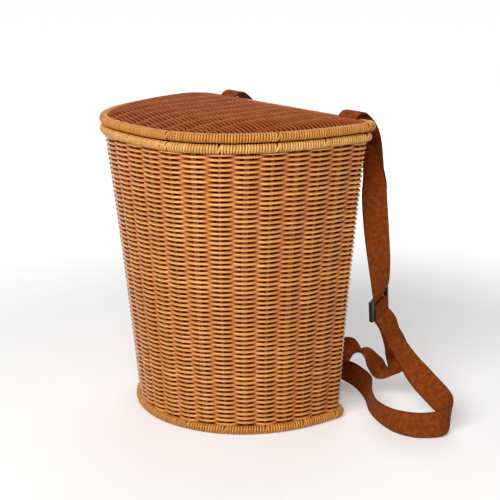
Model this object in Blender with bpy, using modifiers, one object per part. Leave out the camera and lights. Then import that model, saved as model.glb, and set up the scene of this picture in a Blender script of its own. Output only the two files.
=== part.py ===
"""Wicker backpack: a D-shaped woven basket with a hinged woven lid and two webbing straps.

Metres, +Z up. The origin lies on the floor, under the middle of the base rim's back run.
+Y points to the wearer's back, the rounded front faces -Y, and +X is the right-hand strap.
"""

import math
from collections import namedtuple

import bmesh
import bpy
from mathutils import Vector

# Basket: the plans are measured on the centre lines of the rims
BASKET_HEIGHT = 0.380
TOP_WIDTH = 0.3287
TOP_DEPTH = 0.2316
TOP_CORNER = 0.010
BASE_WIDTH = 0.2851
BASE_DEPTH = 0.1905
BASE_CORNER = 0.018
BACK_LEAN = 0.0108
TOP_POWERS = (2.67, 2.58)
BASE_POWERS = (1.90, 2.69)
SIDE_FLARE_SHARE = 0.59
LEAST_CORNER_SHARE = 0.3

# Rims: a round hoop bound all the way along with reed
RIM_RADIUS = 0.0057
BINDING_THICKNESS = 0.0016
HOOP_RADIUS = 0.0033
BINDING_JOINT = 0.0008
FLOOR_FLAT = 0.0004

# Lid
LID_GAP = 0.0010
LID_OVERHANG = 0.0023
LID_BACK_SHIFT = 0.0050
LID_PANEL_THICKNESS = 0.0080
LID_VALLEY_THICKNESS = 0.0040

# Woven wall, base and the rods inside them
WALL_THICKNESS = 0.0064
WALL_CREST = 0.0040
WALL_VALLEY = 0.0020
WALL_INSET = 0.0038
BASE_PANEL_THICKNESS = 0.0060
BASE_PANEL_LIFT = 0.0035
STAKE_RADIUS = 0.0019
PAIR_SPACING = 0.0030
LID_STAKE_RADIUS = 0.0019
BASE_STICK_RADIUS = 0.0016
FRONT_STAKES = 21
BACK_STAKE_SHARES = (0.70, 0.53, 0.36, 0.18, 0.0, -0.18, -0.36, -0.53, -0.83)
LID_MIDDLE_SHARES = (-0.31, -0.145, 0.02, 0.185, 0.35, 0.51)
BASE_STICK_SHARES = (0.18, 0.39, 0.60, 0.81)

# Webbing of the straps and the hinge loops that they form at the top
WEBBING_WIDTH = 0.0320
WEBBING_THICKNESS = 0.0016
LOOP_RADIUS = 0.0132
LOOP_RIGHT_X = 0.791 * TOP_WIDTH / 2
LOOP_LEFT_X = -0.6206 * TOP_WIDTH / 2
LOOP_STAKE_ROOM = 0.0224
LOOP_SLOT_DROP = 0.0080
LOOP_BEND = 0.0015
LOOP_LEAVES_AT = 60
SEWN_DROP = 0.0600
SEWN_LENGTH = 0.0280
SLOT_SIDE_ROOM = 0.0010
SLOT_ROOM = 0.0004
WALL_SLOT_ROOM = 0.0009
SLIT_WIDTH = 0.0030

# Lower anchor: the webbing is laced round one stake of the back wall
ANCHOR_HEIGHT = 0.0720
ANCHOR_STAKE = 23
ANCHOR_HALF_GAP = 0.01085
ANCHOR_BEND = 0.0015
ANCHOR_STUB = 0.0040

# Slider on each strap
SLIDER_X = 0.1434
SLIDER_BACK = 0.0560
SLIDER_HEIGHT = 0.1375
SLIDER_LENGTH = 0.0320
SLIDER_RAIL = 0.0042
SLIDER_DEPTH = 0.0060
SLIDER_BAR_RADIUS = 0.0015
SLIDER_SIDE_ROOM = 0.0013
SLIDER_ROUNDING = 0.0014
SEWN_TAIL = 0.0300
SLIDER_ACROSS = (-0.240, 0.914, 0.327)
SLIDER_ALONG = (-0.215, 0.279, -0.936)

# How far the loop that lies on the floor reaches sideways and to the back
STRAP_REACH = 0.2650
STRAP_BACK = 0.0828

CLEARANCE = 0.0003
CUT_OVERRUN = 0.0040

# Counts of the faceting
FRONT_STEPS = 34
CORNER_STEPS = 3
BACK_STEPS = 5
SPAN_STEPS = 4
END_SHARES = (0.01, 0.06, 0.15, 0.30, 0.50, 0.75)
WALL_STEPS = 4
CURVE_SAMPLES = 400
ROUTE_STEP = 0.0080
SLIDER_STEPS = 10
SEAT_STEPS = 4
ARC_STEP_DEGREES = 20
BEND_STEP_DEGREES = 30
BINDING_SIDES_RESOLUTION = 2
SHARP_EDGE_DEGREES = 40

Plan = namedtuple("Plan", "width depth corner powers back")
TOP_PLAN = Plan(TOP_WIDTH, TOP_DEPTH, TOP_CORNER, TOP_POWERS, BACK_LEAN)
BASE_PLAN = Plan(BASE_WIDTH, BASE_DEPTH, BASE_CORNER, BASE_POWERS, 0.0)
LID_PLAN = Plan(
    TOP_WIDTH + 2 * LID_OVERHANG,
    TOP_DEPTH + 2 * LID_OVERHANG,
    TOP_CORNER + LID_OVERHANG,
    TOP_POWERS,
    BACK_LEAN + LID_BACK_SHIFT,
)

BASE_RIM_Z = RIM_RADIUS - FLOOR_FLAT
LID_RIM_Z = BASKET_HEIGHT - RIM_RADIUS
BODY_RIM_Z = LID_RIM_Z - 2 * RIM_RADIUS - LID_GAP
WALL_FOOT_Z = BASE_RIM_Z + RIM_RADIUS + CLEARANCE
WALL_TOP_Z = BODY_RIM_Z - RIM_RADIUS - CLEARANCE
LOOP_SLOT_Z = BODY_RIM_Z - RIM_RADIUS - LOOP_SLOT_DROP
LAYER = WEBBING_THICKNESS + CLEARANCE

REED = ("reed_wall", (0.55, 0.26, 0.075), 0.45, 0.0)
LID_REED = ("reed_lid", (0.42, 0.16, 0.055), 0.50, 0.0)
RIM_REED = ("reed_rim", (0.62, 0.33, 0.11), 0.40, 0.0)
ROD = ("willow_rod", (0.50, 0.24, 0.08), 0.55, 0.0)
WEBBING = ("webbing", (0.30, 0.095, 0.02), 0.80, 0.0)
PLASTIC = ("slider_plastic", (0.012, 0.012, 0.014), 0.35, 0.0)


def clear_scene():
    for obj in list(bpy.data.objects):
        bpy.data.objects.remove(obj, do_unlink=True)


def material(finish):
    """A Principled material, made once for each finish."""
    name, color, roughness, metallic = finish
    found = bpy.data.materials.get(name)
    if found:
        return found
    made = bpy.data.materials.new(name)
    made.use_nodes = True
    shader = made.node_tree.nodes["Principled BSDF"]
    shader.inputs["Base Color"].default_value = (*color, 1.0)
    shader.inputs["Roughness"].default_value = roughness
    shader.inputs["Metallic"].default_value = metallic
    made.diffuse_color = (*color, 1.0)
    return made


def new_collection(name):
    made = bpy.data.collections.new(name)
    bpy.context.scene.collection.children.link(made)
    return made


def part_object(name, mesh, finish):
    """A visible piece of the basket."""
    obj = bpy.data.objects.new(name, mesh)
    obj.data.materials.append(material(finish))
    PARTS.objects.link(obj)
    return obj


def cutter_object(name, mesh, collection=None):
    """A hidden shape that another one is cut or joined with."""
    obj = bpy.data.objects.new(name, mesh)
    obj.hide_render = True
    obj.display_type = "WIRE"
    (collection or CUTTERS).objects.link(obj)
    return obj


def boolean(obj, operation, other=None, collection=None):
    modifier = obj.modifiers.new(operation.title(), "BOOLEAN")
    modifier.operation = operation
    modifier.solver = "EXACT"
    if collection:
        modifier.operand_type = "COLLECTION"
        modifier.collection = collection
    else:
        modifier.object = other


def finished_mesh(shape, name):
    """The edited shape as a mesh whose faces all point out."""
    shape.normal_update()
    bmesh.ops.recalc_face_normals(shape, faces=shape.faces)
    mesh = bpy.data.meshes.new(name)
    shape.to_mesh(mesh)
    shape.free()
    return mesh


def mix(low, high, share):
    return low + (high - low) * share


def even_points(points, count):
    """That many points at even steps along an open line, its ends among them."""
    lengths = [0.0]
    for near, far in zip(points, points[1:]):
        lengths.append(lengths[-1] + (far - near).length)
    found = []
    index = 0
    for step in range(count):
        target = lengths[-1] * step / (count - 1)
        while index < len(points) - 2 and lengths[index + 1] < target:
            index += 1
        span = lengths[index + 1] - lengths[index]
        found.append(points[index].lerp(points[index + 1], (target - lengths[index]) / span))
    return found


def front_curve(plan, back_limit):
    """The plan's rounded front from left to right, as far back as back_limit allows."""
    found = []
    for step in range(CURVE_SAMPLES + 1):
        angle = math.pi * (1 + step / CURVE_SAMPLES)
        cos, sin = math.cos(angle), abs(math.sin(angle))
        x = plan.width / 2 * math.copysign(abs(cos) ** (2 / plan.powers[0]), cos)
        y = -plan.depth * sin ** (2 / plan.powers[1])
        if y <= -back_limit:
            found.append(Vector((x, y)))
    return found


def inward(points, index):
    """The unit normal that points into the plan, which the line goes round anticlockwise."""
    along = points[min(index + 1, len(points) - 1)] - points[max(index - 1, 0)]
    return Vector((-along.y, along.x)).normalized()


def outline(plan, inset=0.0):
    """The plan drawn in by inset, anticlockwise from the left side: front, corner, back, corner."""
    radius = max(plan.corner - inset, plan.corner * LEAST_CORNER_SHARE)
    line = even_points(front_curve(plan, inset + radius), FRONT_STEPS + 1)
    points = [point + inward(line, index) * inset for index, point in enumerate(line)]
    side = points[-1].x
    for step in range(1, CORNER_STEPS + 1):
        turn = math.pi / 2 * step / CORNER_STEPS
        x = side - radius + radius * math.cos(turn)
        points.append(Vector((x, -inset - radius + radius * math.sin(turn))))
    reach = side - radius
    points += [Vector((mix(reach, -reach, step / BACK_STEPS), -inset)) for step in range(1, BACK_STEPS)]
    for step in range(CORNER_STEPS):
        turn = math.pi / 2 * (1 + step / CORNER_STEPS)
        x = -side + radius + radius * math.cos(turn)
        points.append(Vector((x, -inset - radius + radius * math.sin(turn))))
    return [Vector((point.x, point.y + plan.back)) for point in points]


def wall_share(z):
    return (z - BASE_RIM_Z) / (BODY_RIM_Z - BASE_RIM_Z)


def between_plans(low, high, z):
    """A point of the wall at height z, from the matching points of the base and the top plan."""
    share = wall_share(z)
    flared = share + SIDE_FLARE_SHARE * share * (share - 1)
    return Vector((mix(low.x, high.x, flared), mix(low.y, high.y, share), z))


def wall_levels():
    return [mix(WALL_FOOT_Z, WALL_TOP_Z, step / WALL_STEPS) for step in range(WALL_STEPS + 1)]


def ring_at(z, inset):
    pairs = zip(outline(BASE_PLAN, inset), outline(TOP_PLAN, inset))
    return [between_plans(low, high, z) for low, high in pairs]


def poly_curve(name, points, radius, cyclic=False, sides_resolution=1, caps=True):
    """Curve data for a round tube through the points."""
    curve = bpy.data.curves.new(name, "CURVE")
    curve.dimensions = "3D"
    curve.bevel_depth = radius
    curve.bevel_resolution = sides_resolution
    curve.use_fill_caps = caps
    spline = curve.splines.new("POLY")
    spline.points.add(len(points) - 1)
    for place, point in zip(spline.points, points):
        place.co = (*point, 1.0)
    spline.use_cyclic_u = cyclic
    return curve


def curve_mesh(name, curve):
    """The curve's surface as a mesh with its caps welded on."""
    holder = bpy.data.objects.new(name, curve)
    bpy.context.scene.collection.objects.link(holder)
    graph = bpy.context.evaluated_depsgraph_get()
    mesh = bpy.data.meshes.new_from_object(holder.evaluated_get(graph))
    bpy.data.objects.remove(holder, do_unlink=True)
    shape = bmesh.new()
    shape.from_mesh(mesh)
    bmesh.ops.remove_doubles(shape, verts=shape.verts, dist=CLEARANCE / 30)
    bpy.data.meshes.remove(mesh)
    return finished_mesh(shape, name)


def tube_mesh(name, points, radius):
    return curve_mesh(name, poly_curve(name, points, radius))


def box_mesh(name, size, centre, axes=None):
    """A box of that size about its centre, turned to the three axes where they are given."""
    shape = bmesh.new()
    bmesh.ops.create_cube(shape, size=1.0)
    for vertex in shape.verts:
        local = Vector(part * side for part, side in zip(vertex.co, size))
        if axes:
            local = sum((axis * part for axis, part in zip(axes, local)), Vector())
        vertex.co = local + centre
    return finished_mesh(shape, name)


def plate_mesh(name, points, thickness, z):
    """A flat plate of that outline, its middle at height z."""
    curve = bpy.data.curves.new(name, "CURVE")
    curve.dimensions = "2D"
    curve.fill_mode = "BOTH"
    curve.extrude = thickness / 2
    spline = curve.splines.new("POLY")
    spline.points.add(len(points) - 1)
    for place, point in zip(spline.points, points):
        place.co = (point.x, point.y, 0.0, 1.0)
    spline.use_cyclic_u = True
    mesh = curve_mesh(name, curve)
    for vertex in mesh.vertices:
        vertex.co.z += z
    return mesh


def lifted(points, z):
    return [Vector((point.x, point.y, z)) for point in points]


def hoop(name, plan, z):
    """The closed rod inside a rim."""
    curve = poly_curve(name, lifted(outline(plan), z), HOOP_RADIUS, cyclic=True)
    return part_object(name, curve, ROD)


def binding(name, plan, z, flat_foot=False):
    """The reed wound round a hoop: a tube whose two ends all but meet beside the left corner."""
    points = lifted(outline(plan), z)
    last = points[-1]
    points.append(last + (points[0] - last).normalized() * ((points[0] - last).length - BINDING_JOINT))
    curve = poly_curve(name, points, RIM_RADIUS, sides_resolution=BINDING_SIDES_RESOLUTION, caps=False)
    obj = part_object(name, curve_mesh(name, curve), RIM_REED)
    solidify = obj.modifiers.new("Wall", "SOLIDIFY")
    solidify.thickness = BINDING_THICKNESS
    solidify.offset = -1.0
    solidify.use_even_offset = True
    if flat_foot:
        size = (2 * TOP_WIDTH, 2 * TOP_WIDTH, RIM_RADIUS)
        floor = box_mesh("floor_cut", size, Vector((0.0, 0.0, -RIM_RADIUS / 2)))
        boolean(obj, "DIFFERENCE", cutter_object("floor_cut", floor))
    return obj


def along_outline(points, distance):
    """The place at that distance along the closed line of points, as (index, share of the side)."""
    index = 0
    while True:
        side = (points[(index + 1) % len(points)] - points[index]).length
        if distance <= side or index == len(points) - 1:
            return index, distance / side
        distance -= side
        index += 1


def stake_places():
    """Where each stake stands on the top plan's middle line, the front ones first: (index, share)."""
    points = outline(TOP_PLAN, WALL_INSET)
    front = sum((far - near).length for near, far in zip(points[:FRONT_STEPS], points[1:]))
    places = [along_outline(points, front * step / (FRONT_STAKES - 1)) for step in range(FRONT_STAKES)]
    first = FRONT_STEPS + CORNER_STEPS
    for share in BACK_STAKE_SHARES:
        steps = (1 - share) / 2 * BACK_STEPS
        index = min(int(steps), BACK_STEPS - 1)
        places.append((first + index, steps - index))
    return places


def stake_path(place, sideways):
    """A stake's middle line up the wall, moved along the weave by sideways."""
    index, share = place
    path = []
    for z in wall_levels():
        ring = ring_at(z, WALL_INSET)
        near, far = ring[index], ring[(index + 1) % len(ring)]
        path.append(near.lerp(far, share) + (far - near).normalized() * sideways)
    return path


def stretched(path, overrun):
    """The path with both its ends drawn out."""
    first = path[0] + (path[0] - path[1]).normalized() * overrun
    last = path[-1] + (path[-1] - path[-2]).normalized() * overrun
    return [first, *path[1:-1], last]


def make_stakes():
    """Single main stakes and paired side stakes by turns, with a bore in the wall for each rod."""
    for number, place in enumerate(stake_places()):
        paired = number % 2 == 1
        offsets = (-PAIR_SPACING / 2, PAIR_SPACING / 2) if paired else (0.0,)
        name = f"stake_{number + 1:02d}_{'pair' if paired else 'single'}"
        paths = [stake_path(place, offset) for offset in offsets]
        stake = part_object(name, tube_mesh(name, paths[0], STAKE_RADIUS), ROD)
        if paired:
            second = tube_mesh(name + "_second", paths[1], STAKE_RADIUS)
            boolean(stake, "UNION", cutter_object(name + "_second", second))
        for path in paths:
            bore = tube_mesh(name + "_bore", stretched(path, CUT_OVERRUN), STAKE_RADIUS + CLEARANCE)
            cutter_object(name + "_bore", bore, WALL_CUTS)


def woven_ring(z, inner):
    """The wall's face at height z: outside it swells over each stake and falls in between."""
    middle = ring_at(z, WALL_INSET)
    places = sorted(index + share for index, share in stake_places())
    found = []
    for near, far in zip(places, places[1:] + [places[0] + len(middle)]):
        for step in range(SPAN_STEPS):
            place = mix(near, far, step / SPAN_STEPS)
            index = int(place)
            here, following = middle[index % len(middle)], middle[(index + 1) % len(middle)]
            before = middle[index - 1]
            along = (following - here).lerp(here - before, 1 - (place - index))
            out = Vector((along.y, -along.x, 0.0)).normalized()
            swell = (1 + math.cos(2 * math.pi * step / SPAN_STEPS)) / 2
            reach = -WALL_THICKNESS / 2 if inner else mix(WALL_VALLEY, WALL_CREST, swell)
            found.append(here.lerp(following, place - index) + out * reach)
    return found


def make_wall():
    """The woven wall as a shell: a loft from the base plan to the top plan."""
    shape = bmesh.new()
    rings = []
    for inner in (False, True):
        for z in wall_levels():
            rings.append([shape.verts.new(point) for point in woven_ring(z, inner)])
    outer, inner = rings[: WALL_STEPS + 1], rings[WALL_STEPS + 1 :]
    loops = outer + inner[::-1]
    for near, far in zip(loops, loops[1:] + loops[:1]):
        for index, vertex in enumerate(near):
            following = (index + 1) % len(near)
            shape.faces.new((vertex, near[following], far[following], far[index]))
    wall = part_object("wall_weave", finished_mesh(shape, "wall_weave"), REED)
    boolean(wall, "DIFFERENCE", collection=WALL_CUTS)
    return wall


def cut_wall_slots():
    """Slots under the rim for the hinge loops, and slits near the foot for the lower anchors."""
    through = 4 * WALL_THICKNESS
    slot_size = (WEBBING_WIDTH + 2 * SLOT_SIDE_ROOM, through, WEBBING_THICKNESS + 2 * WALL_SLOT_ROOM)
    slit_size = (SLIT_WIDTH, through, WEBBING_WIDTH + 2 * SLOT_SIDE_ROOM)
    for side, loop_x in SIDES.items():
        sign = math.copysign(1, loop_x)
        centre = Vector((loop_x, wall_back(LOOP_SLOT_Z), LOOP_SLOT_Z))
        cutter_object(f"loop_slot_{side}", box_mesh(f"loop_slot_{side}", slot_size, centre), WALL_CUTS)
        for label, x in zip(("outer", "inner"), anchor_places()):
            name = f"anchor_slit_{side}_{label}"
            centre = Vector((sign * x, wall_back(ANCHOR_HEIGHT), ANCHOR_HEIGHT))
            cutter_object(name, box_mesh(name, slit_size, centre), WALL_CUTS)


def wall_back(z):
    """The middle of the back wall's thickness at height z."""
    return wall_share(z) * BACK_LEAN - WALL_INSET


def crossings(points, x):
    """The least and the greatest y where the closed outline passes the line at that x."""
    found = []
    for near, far in zip(points, points[1:] + points[:1]):
        if (near.x - x) * (far.x - x) <= 0 and near.x != far.x:
            found.append(mix(near.y, far.y, (x - near.x) / (far.x - near.x)))
    return min(found), max(found)


def rod_span(points, x, radius):
    """How far a rod of that radius can reach along Y inside the closed outline."""
    spans = [crossings(points, x - radius), crossings(points, x + radius)]
    return max(low for low, high in spans), min(high for low, high in spans)


def lid_stake_places():
    """The x of each stake in the lid: two beside each strap loop, the others between them."""
    beside_loops = [x + side * LOOP_STAKE_ROOM for x in SIDES.values() for side in (-1, 1)]
    return sorted(beside_loops + [share * LID_PLAN.width / 2 for share in LID_MIDDLE_SHARES])


def lid_panel_mesh(name, edge, stakes):
    """The lid's woven panel: it swells over each stake and falls in between, above and below."""
    reach = max(point.x for point in edge)
    spans = [-reach, *stakes, reach]
    even_shares = [step / SPAN_STEPS for step in range(SPAN_STEPS)]
    last_shares = [0.0, *(1 - share for share in END_SHARES[::-1])]
    shares = [END_SHARES, *[even_shares] * (len(stakes) - 1), last_shares]
    columns = []
    for near, far, steps in zip(spans, spans[1:], shares):
        for share in steps:
            columns.append((mix(near, far, share), (1 + math.cos(2 * math.pi * share)) / 2))
    shape = bmesh.new()
    rings = []
    for x, swell in columns:
        front, back = crossings(edge, x)
        half = mix(LID_VALLEY_THICKNESS, LID_PANEL_THICKNESS, swell) / 2
        corners = ((front, -half), (back, -half), (back, half), (front, half))
        rings.append([shape.verts.new((x, y, LID_RIM_Z + height)) for y, height in corners])
    for near, far in zip(rings, rings[1:]):
        for index in range(4):
            following = (index + 1) % 4
            shape.faces.new((near[index], near[following], far[following], far[index]))
    shape.faces.new(rings[0])
    shape.faces.new(rings[-1])
    return finished_mesh(shape, name)


def make_lid():
    """The lid: hoop, binding, woven panel and the stakes inside it."""
    hoop("lid_hoop", LID_PLAN, LID_RIM_Z)
    binding("lid_binding", LID_PLAN, LID_RIM_Z)
    edge = outline(LID_PLAN, RIM_RADIUS + CLEARANCE)
    stakes = lid_stake_places()
    panel = part_object("lid_weave", lid_panel_mesh("lid_weave", edge, stakes), LID_REED)
    for number, x in enumerate(stakes):
        front, back = rod_span(edge, x, LID_STAKE_RADIUS)
        ends = [Vector((x, front, LID_RIM_Z)), Vector((x, back, LID_RIM_Z))]
        name = f"lid_stake_{number + 1:02d}"
        part_object(name, tube_mesh(name, ends, LID_STAKE_RADIUS), ROD)
        bore = tube_mesh(name + "_bore", stretched(ends, CUT_OVERRUN), LID_STAKE_RADIUS + CLEARANCE)
        cutter_object(name + "_bore", bore, LID_CUTS)
    half_webbing = WEBBING_THICKNESS / 2 + SLOT_ROOM
    near = math.sqrt((LOOP_RADIUS - half_webbing) ** 2 - (LID_PANEL_THICKNESS / 2) ** 2)
    far = LOOP_RADIUS + half_webbing
    size = (WEBBING_WIDTH + 2 * SLOT_SIDE_ROOM, far - near, 2 * LID_PANEL_THICKNESS)
    for side, loop_x in SIDES.items():
        centre = Vector((loop_x, LID_PLAN.back - (near + far) / 2, LID_RIM_Z))
        cutter_object(f"lid_slot_{side}", box_mesh(f"lid_slot_{side}", size, centre), LID_CUTS)
    boolean(panel, "DIFFERENCE", collection=LID_CUTS)


def make_base():
    """The foot: bound base rim, woven base panel and the sticks inside it."""
    hoop("base_hoop", BASE_PLAN, BASE_RIM_Z)
    binding("base_binding", BASE_PLAN, BASE_RIM_Z, flat_foot=True)
    middle = BASE_PANEL_LIFT + BASE_PANEL_THICKNESS / 2
    edge = outline(BASE_PLAN, RIM_RADIUS + CLEARANCE)
    panel = part_object("base_weave", plate_mesh("base_weave", edge, BASE_PANEL_THICKNESS, middle), REED)
    turned = [Vector((point.y, point.x)) for point in edge]
    for number, share in enumerate(BASE_STICK_SHARES):
        y = -share * BASE_DEPTH
        left, right = rod_span(turned, y, BASE_STICK_RADIUS)
        ends = [Vector((left, y, middle)), Vector((right, y, middle))]
        name = f"base_stick_{number + 1}"
        part_object(name, tube_mesh(name, ends, BASE_STICK_RADIUS), ROD)
        bore = tube_mesh(name + "_bore", stretched(ends, CUT_OVERRUN), BASE_STICK_RADIUS + CLEARANCE)
        cutter_object(name + "_bore", bore, BASE_CUTS)
    boolean(panel, "DIFFERENCE", collection=BASE_CUTS)


def slider_axes():
    """Across the webbing, along it downwards, and out of its front face."""
    across = Vector(SLIDER_ACROSS).normalized()
    along = Vector(SLIDER_ALONG)
    along = (along - across * along.dot(across)).normalized()
    return across, along, along.cross(across)


def slider_point(along, outwards):
    """A place in the slider's own plane, from the middle of its centre bar."""
    _, down, out = slider_axes()
    return Vector((SLIDER_X, SLIDER_BACK, SLIDER_HEIGHT)) + down * along + out * outwards


BAR_STEP = (SLIDER_LENGTH - 2 * SLIDER_BAR_RADIUS) / 2
BAR_BEND = SLIDER_BAR_RADIUS + CLEARANCE + WEBBING_THICKNESS / 2
OUTER_BAR_OUT = -(SLIDER_BAR_RADIUS + CLEARANCE + WEBBING_THICKNESS / 2)


def running_depth(along):
    """How far the running webbing stands out at that place: behind the centre bar, before the others."""
    if abs(along) >= BAR_STEP:
        return 0.0
    return -(BAR_BEND + LAYER) * (1 + math.cos(math.pi * along / BAR_STEP)) / 2


def slider_pass():
    """The running webbing through the slider, from above to below."""
    across = slider_axes()[0]
    reach = SLIDER_LENGTH / 2
    steps = [mix(-reach, reach, step / SLIDER_STEPS) for step in range(SLIDER_STEPS + 1)]
    return [(slider_point(along, running_depth(along)), across) for along in steps]


def sewn_end(lying):
    """The end of the webbing: round the centre bar and back down, sewn behind what rises to it."""
    across = slider_axes()[0]
    path = [(slider_point(SLIDER_LENGTH / 4, BAR_BEND / 2 + LAYER), across)]
    for degrees in range(90, 271, BEND_STEP_DEGREES):
        turn = math.radians(degrees)
        path.append((slider_point(BAR_BEND * math.cos(turn), BAR_BEND * math.sin(turn)), across))
    for step in range(1, SEAT_STEPS + 1):
        along = SLIDER_LENGTH / 2 * step / SEAT_STEPS
        path.append((slider_point(along, running_depth(along) + LAYER), across))
    beyond = beside(lying, -LAYER)[::-1]
    for near, far in zip(beyond, beyond[1:]):
        path.append(far)
        if (far[0] - path[0][0]).length > SEWN_TAIL:
            break
    return path


def route_point(reach_share, back_share, height_share, across):
    place = (reach_share * STRAP_REACH, back_share * STRAP_BACK, height_share * BASKET_HEIGHT)
    return Vector(place), Vector(across).normalized()


def smooth(controls):
    """Points at even steps on a Catmull-Rom curve through the controls, with their cross directions."""
    found = []
    extended = [controls[0], *controls, controls[-1]]
    for before, near, far, after in zip(extended, extended[1:], extended[2:], extended[3:]):
        count = max(1, round((far[0] - near[0]).length / ROUTE_STEP))
        for step in range(count):
            t = step / count
            blended = []
            for part in (0, 1):
                a, b, c, d = before[part], near[part], far[part], after[part]
                slope = (c - a) * t + (2 * a - 5 * b + 4 * c - d) * t * t + (3 * b - a - 3 * c + d) * t ** 3
                blended.append(b + slope / 2)
            found.append((blended[0], blended[1].normalized()))
    found.append(controls[-1])
    return found


def beside(line, distance):
    """Webbing laid flat against the line, on the side that across x travel points to."""
    found = []
    for index, (place, across) in enumerate(line):
        travel = line[min(index + 1, len(line) - 1)][0] - line[max(index - 1, 0)][0]
        found.append((place + across.cross(travel).normalized() * distance, across))
    return found


UPRIGHT = (0.0, 0.0, 1.0)
FLAT = (1.0, 0.0, 0.0)
# The hanging stretch: share of the way from loop to slider, back and height shares, direction across
UPPER_SHARES = (
    (0.02, 0.362, 0.912, FLAT),
    (0.05, 0.477, 0.891, FLAT),
    (0.10, 0.537, 0.860, FLAT),
    (0.15, 0.577, 0.825, (0.99, 0.10, 0.05)),
    (0.22, 0.597, 0.785, (0.95, 0.30, 0.06)),
    (0.37, 0.588, 0.716, (0.76, 0.64, 0.07)),
    (0.61, 0.601, 0.614, (0.52, 0.85, 0.10)),
    (0.89, 0.617, 0.515, (0.27, 0.96, 0.04)),
    (1.12, 0.608, 0.438, (-0.03, 0.99, 0.03)),
)
# The webbing's other end above its seam: the same shares, from the seam up to the loop
TAIL_SHARES = (
    (0.09, 0.592, 0.882, FLAT),
    (0.06, 0.565, 0.921, FLAT),
    (0.03, 0.515, 0.955, FLAT),
    (0.00, 0.420, 0.988, FLAT),
)
# From the slider down, round a turn and back to the lower anchor: reach, back and height shares
RETURN_SHARES = (
    (0.544, 0.800, 0.289, (-0.29, 0.92, 0.28)),
    (0.562, 0.903, 0.241, (0.00, 0.90, 0.43)),
    (0.566, 1.005, 0.189, (0.45, 0.83, 0.30)),
    (0.551, 1.065, 0.141, (0.91, 0.31, -0.27)),
    (0.537, 0.979, 0.104, (0.83, -0.56, 0.03)),
    (0.502, 0.821, 0.118, (0.39, -0.64, -0.66)),
    (0.493, 0.612, 0.166, (0.59, -0.60, -0.55)),
    (0.469, 0.476, 0.187, (0.81, -0.39, 0.43)),
    (0.431, 0.345, 0.196, (-0.25, 0.40, 0.88)),
    (0.364, 0.214, 0.191, (-0.33, 0.40, 0.85)),
)
# From the lower anchor down to the floor, and standing there on its edge
LYING_SHARES = (
    (0.189, 0.290, 0.179, (-0.05, 0.35, 0.93)),
    (0.166, 0.531, 0.153, (0.00, 0.62, 0.78)),
    (0.158, 0.725, 0.105, (0.05, 0.55, 0.83)),
    (0.181, 0.882, 0.063, (0.03, 0.25, 0.97)),
    (0.234, 0.930, 0.046, UPRIGHT),
    (0.319, 0.907, 0.044, (0.03, 0.13, 0.99)),
    (0.463, 0.717, 0.044, (0.15, 0.22, 0.96)),
    (0.592, 0.374, 0.044, (0.05, 0.05, 1.00)),
    (0.707, 0.157, 0.044, (-0.05, -0.13, 0.99)),
    (0.814, 0.081, 0.044, (0.00, -0.12, 0.99)),
    (0.894, 0.135, 0.044, UPRIGHT),
    (0.957, 0.278, 0.044, (-0.09, 0.07, 0.99)),
    (1.003, 0.540, 0.048, (-0.23, -0.05, 0.97)),
)
# Up from the floor to the sewn end at the slider
RISE_SHARES = (
    (0.973, 0.842, 0.060, (0.28, -0.13, 0.95)),
    (0.877, 0.911, 0.087, (0.35, 0.55, 0.76)),
    (0.768, 0.906, 0.129, (0.34, 0.78, 0.53)),
    (0.668, 0.913, 0.178, (0.08, 0.99, 0.11)),
    (0.590, 0.872, 0.238, (-0.15, 0.98, 0.15)),
    (0.564, 0.801, 0.294, (-0.12, 0.94, 0.31)),
)


def lid_arc(loop_x, degrees):
    """A place on the arc round the lid's hinge line, counted from straight back, over the top."""
    turn = math.radians(degrees)
    y = LID_PLAN.back + LOOP_RADIUS * math.cos(turn)
    return Vector((loop_x, y, LID_RIM_Z + LOOP_RADIUS * math.sin(turn)))


def hanging_point(loop_x, share, back_share, height_share, across):
    """A place on the hanging stretch, part of the way from the loop to the slider."""
    x = mix(loop_x, slider_point(-SLIDER_LENGTH / 2, 0.0).x, share)
    return Vector((x, back_share * STRAP_BACK, height_share * BASKET_HEIGHT)), Vector(across).normalized()


def hinge_loop(loop_x, hanging):
    """From the seam up, over the lid's back rim, down through the lid, and out through the wall."""
    across = Vector(FLAT)
    seam_top = LID_RIM_Z - SEWN_DROP
    laid = beside(hanging, LAYER)
    sewn = [item for item in laid if seam_top - SEWN_LENGTH <= item[0].z <= seam_top][::-1]
    rising = [hanging_point(loop_x, *row) for row in TAIL_SHARES]
    path = sewn[:-1] + smooth([sewn[-1], *rising, (lid_arc(loop_x, LOOP_LEAVES_AT), across)])[:-1]
    for degrees in range(LOOP_LEAVES_AT, 181, ARC_STEP_DEGREES):
        path.append((lid_arc(loop_x, degrees), across))
    inside_y = LID_PLAN.back - LOOP_RADIUS
    for degrees in range(180, 271, BEND_STEP_DEGREES):
        turn = math.radians(degrees)
        y = inside_y + LOOP_BEND + LOOP_BEND * math.cos(turn)
        path.append((Vector((loop_x, y, LOOP_SLOT_Z + LOOP_BEND + LOOP_BEND * math.sin(turn))), across))
    path.append((Vector((loop_x, wall_back(LOOP_SLOT_Z), LOOP_SLOT_Z)), across))
    return path


def anchor_places():
    """The x of the outer and of the inner slit, either side of the stake that the webbing is laced round."""
    index, share = stake_places()[ANCHOR_STAKE - 1]
    ring = ring_at(ANCHOR_HEIGHT, WALL_INSET)
    middle = mix(ring[index].x, ring[index + 1].x, share)
    return middle + ANCHOR_HALF_GAP, middle - ANCHOR_HALF_GAP


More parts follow.
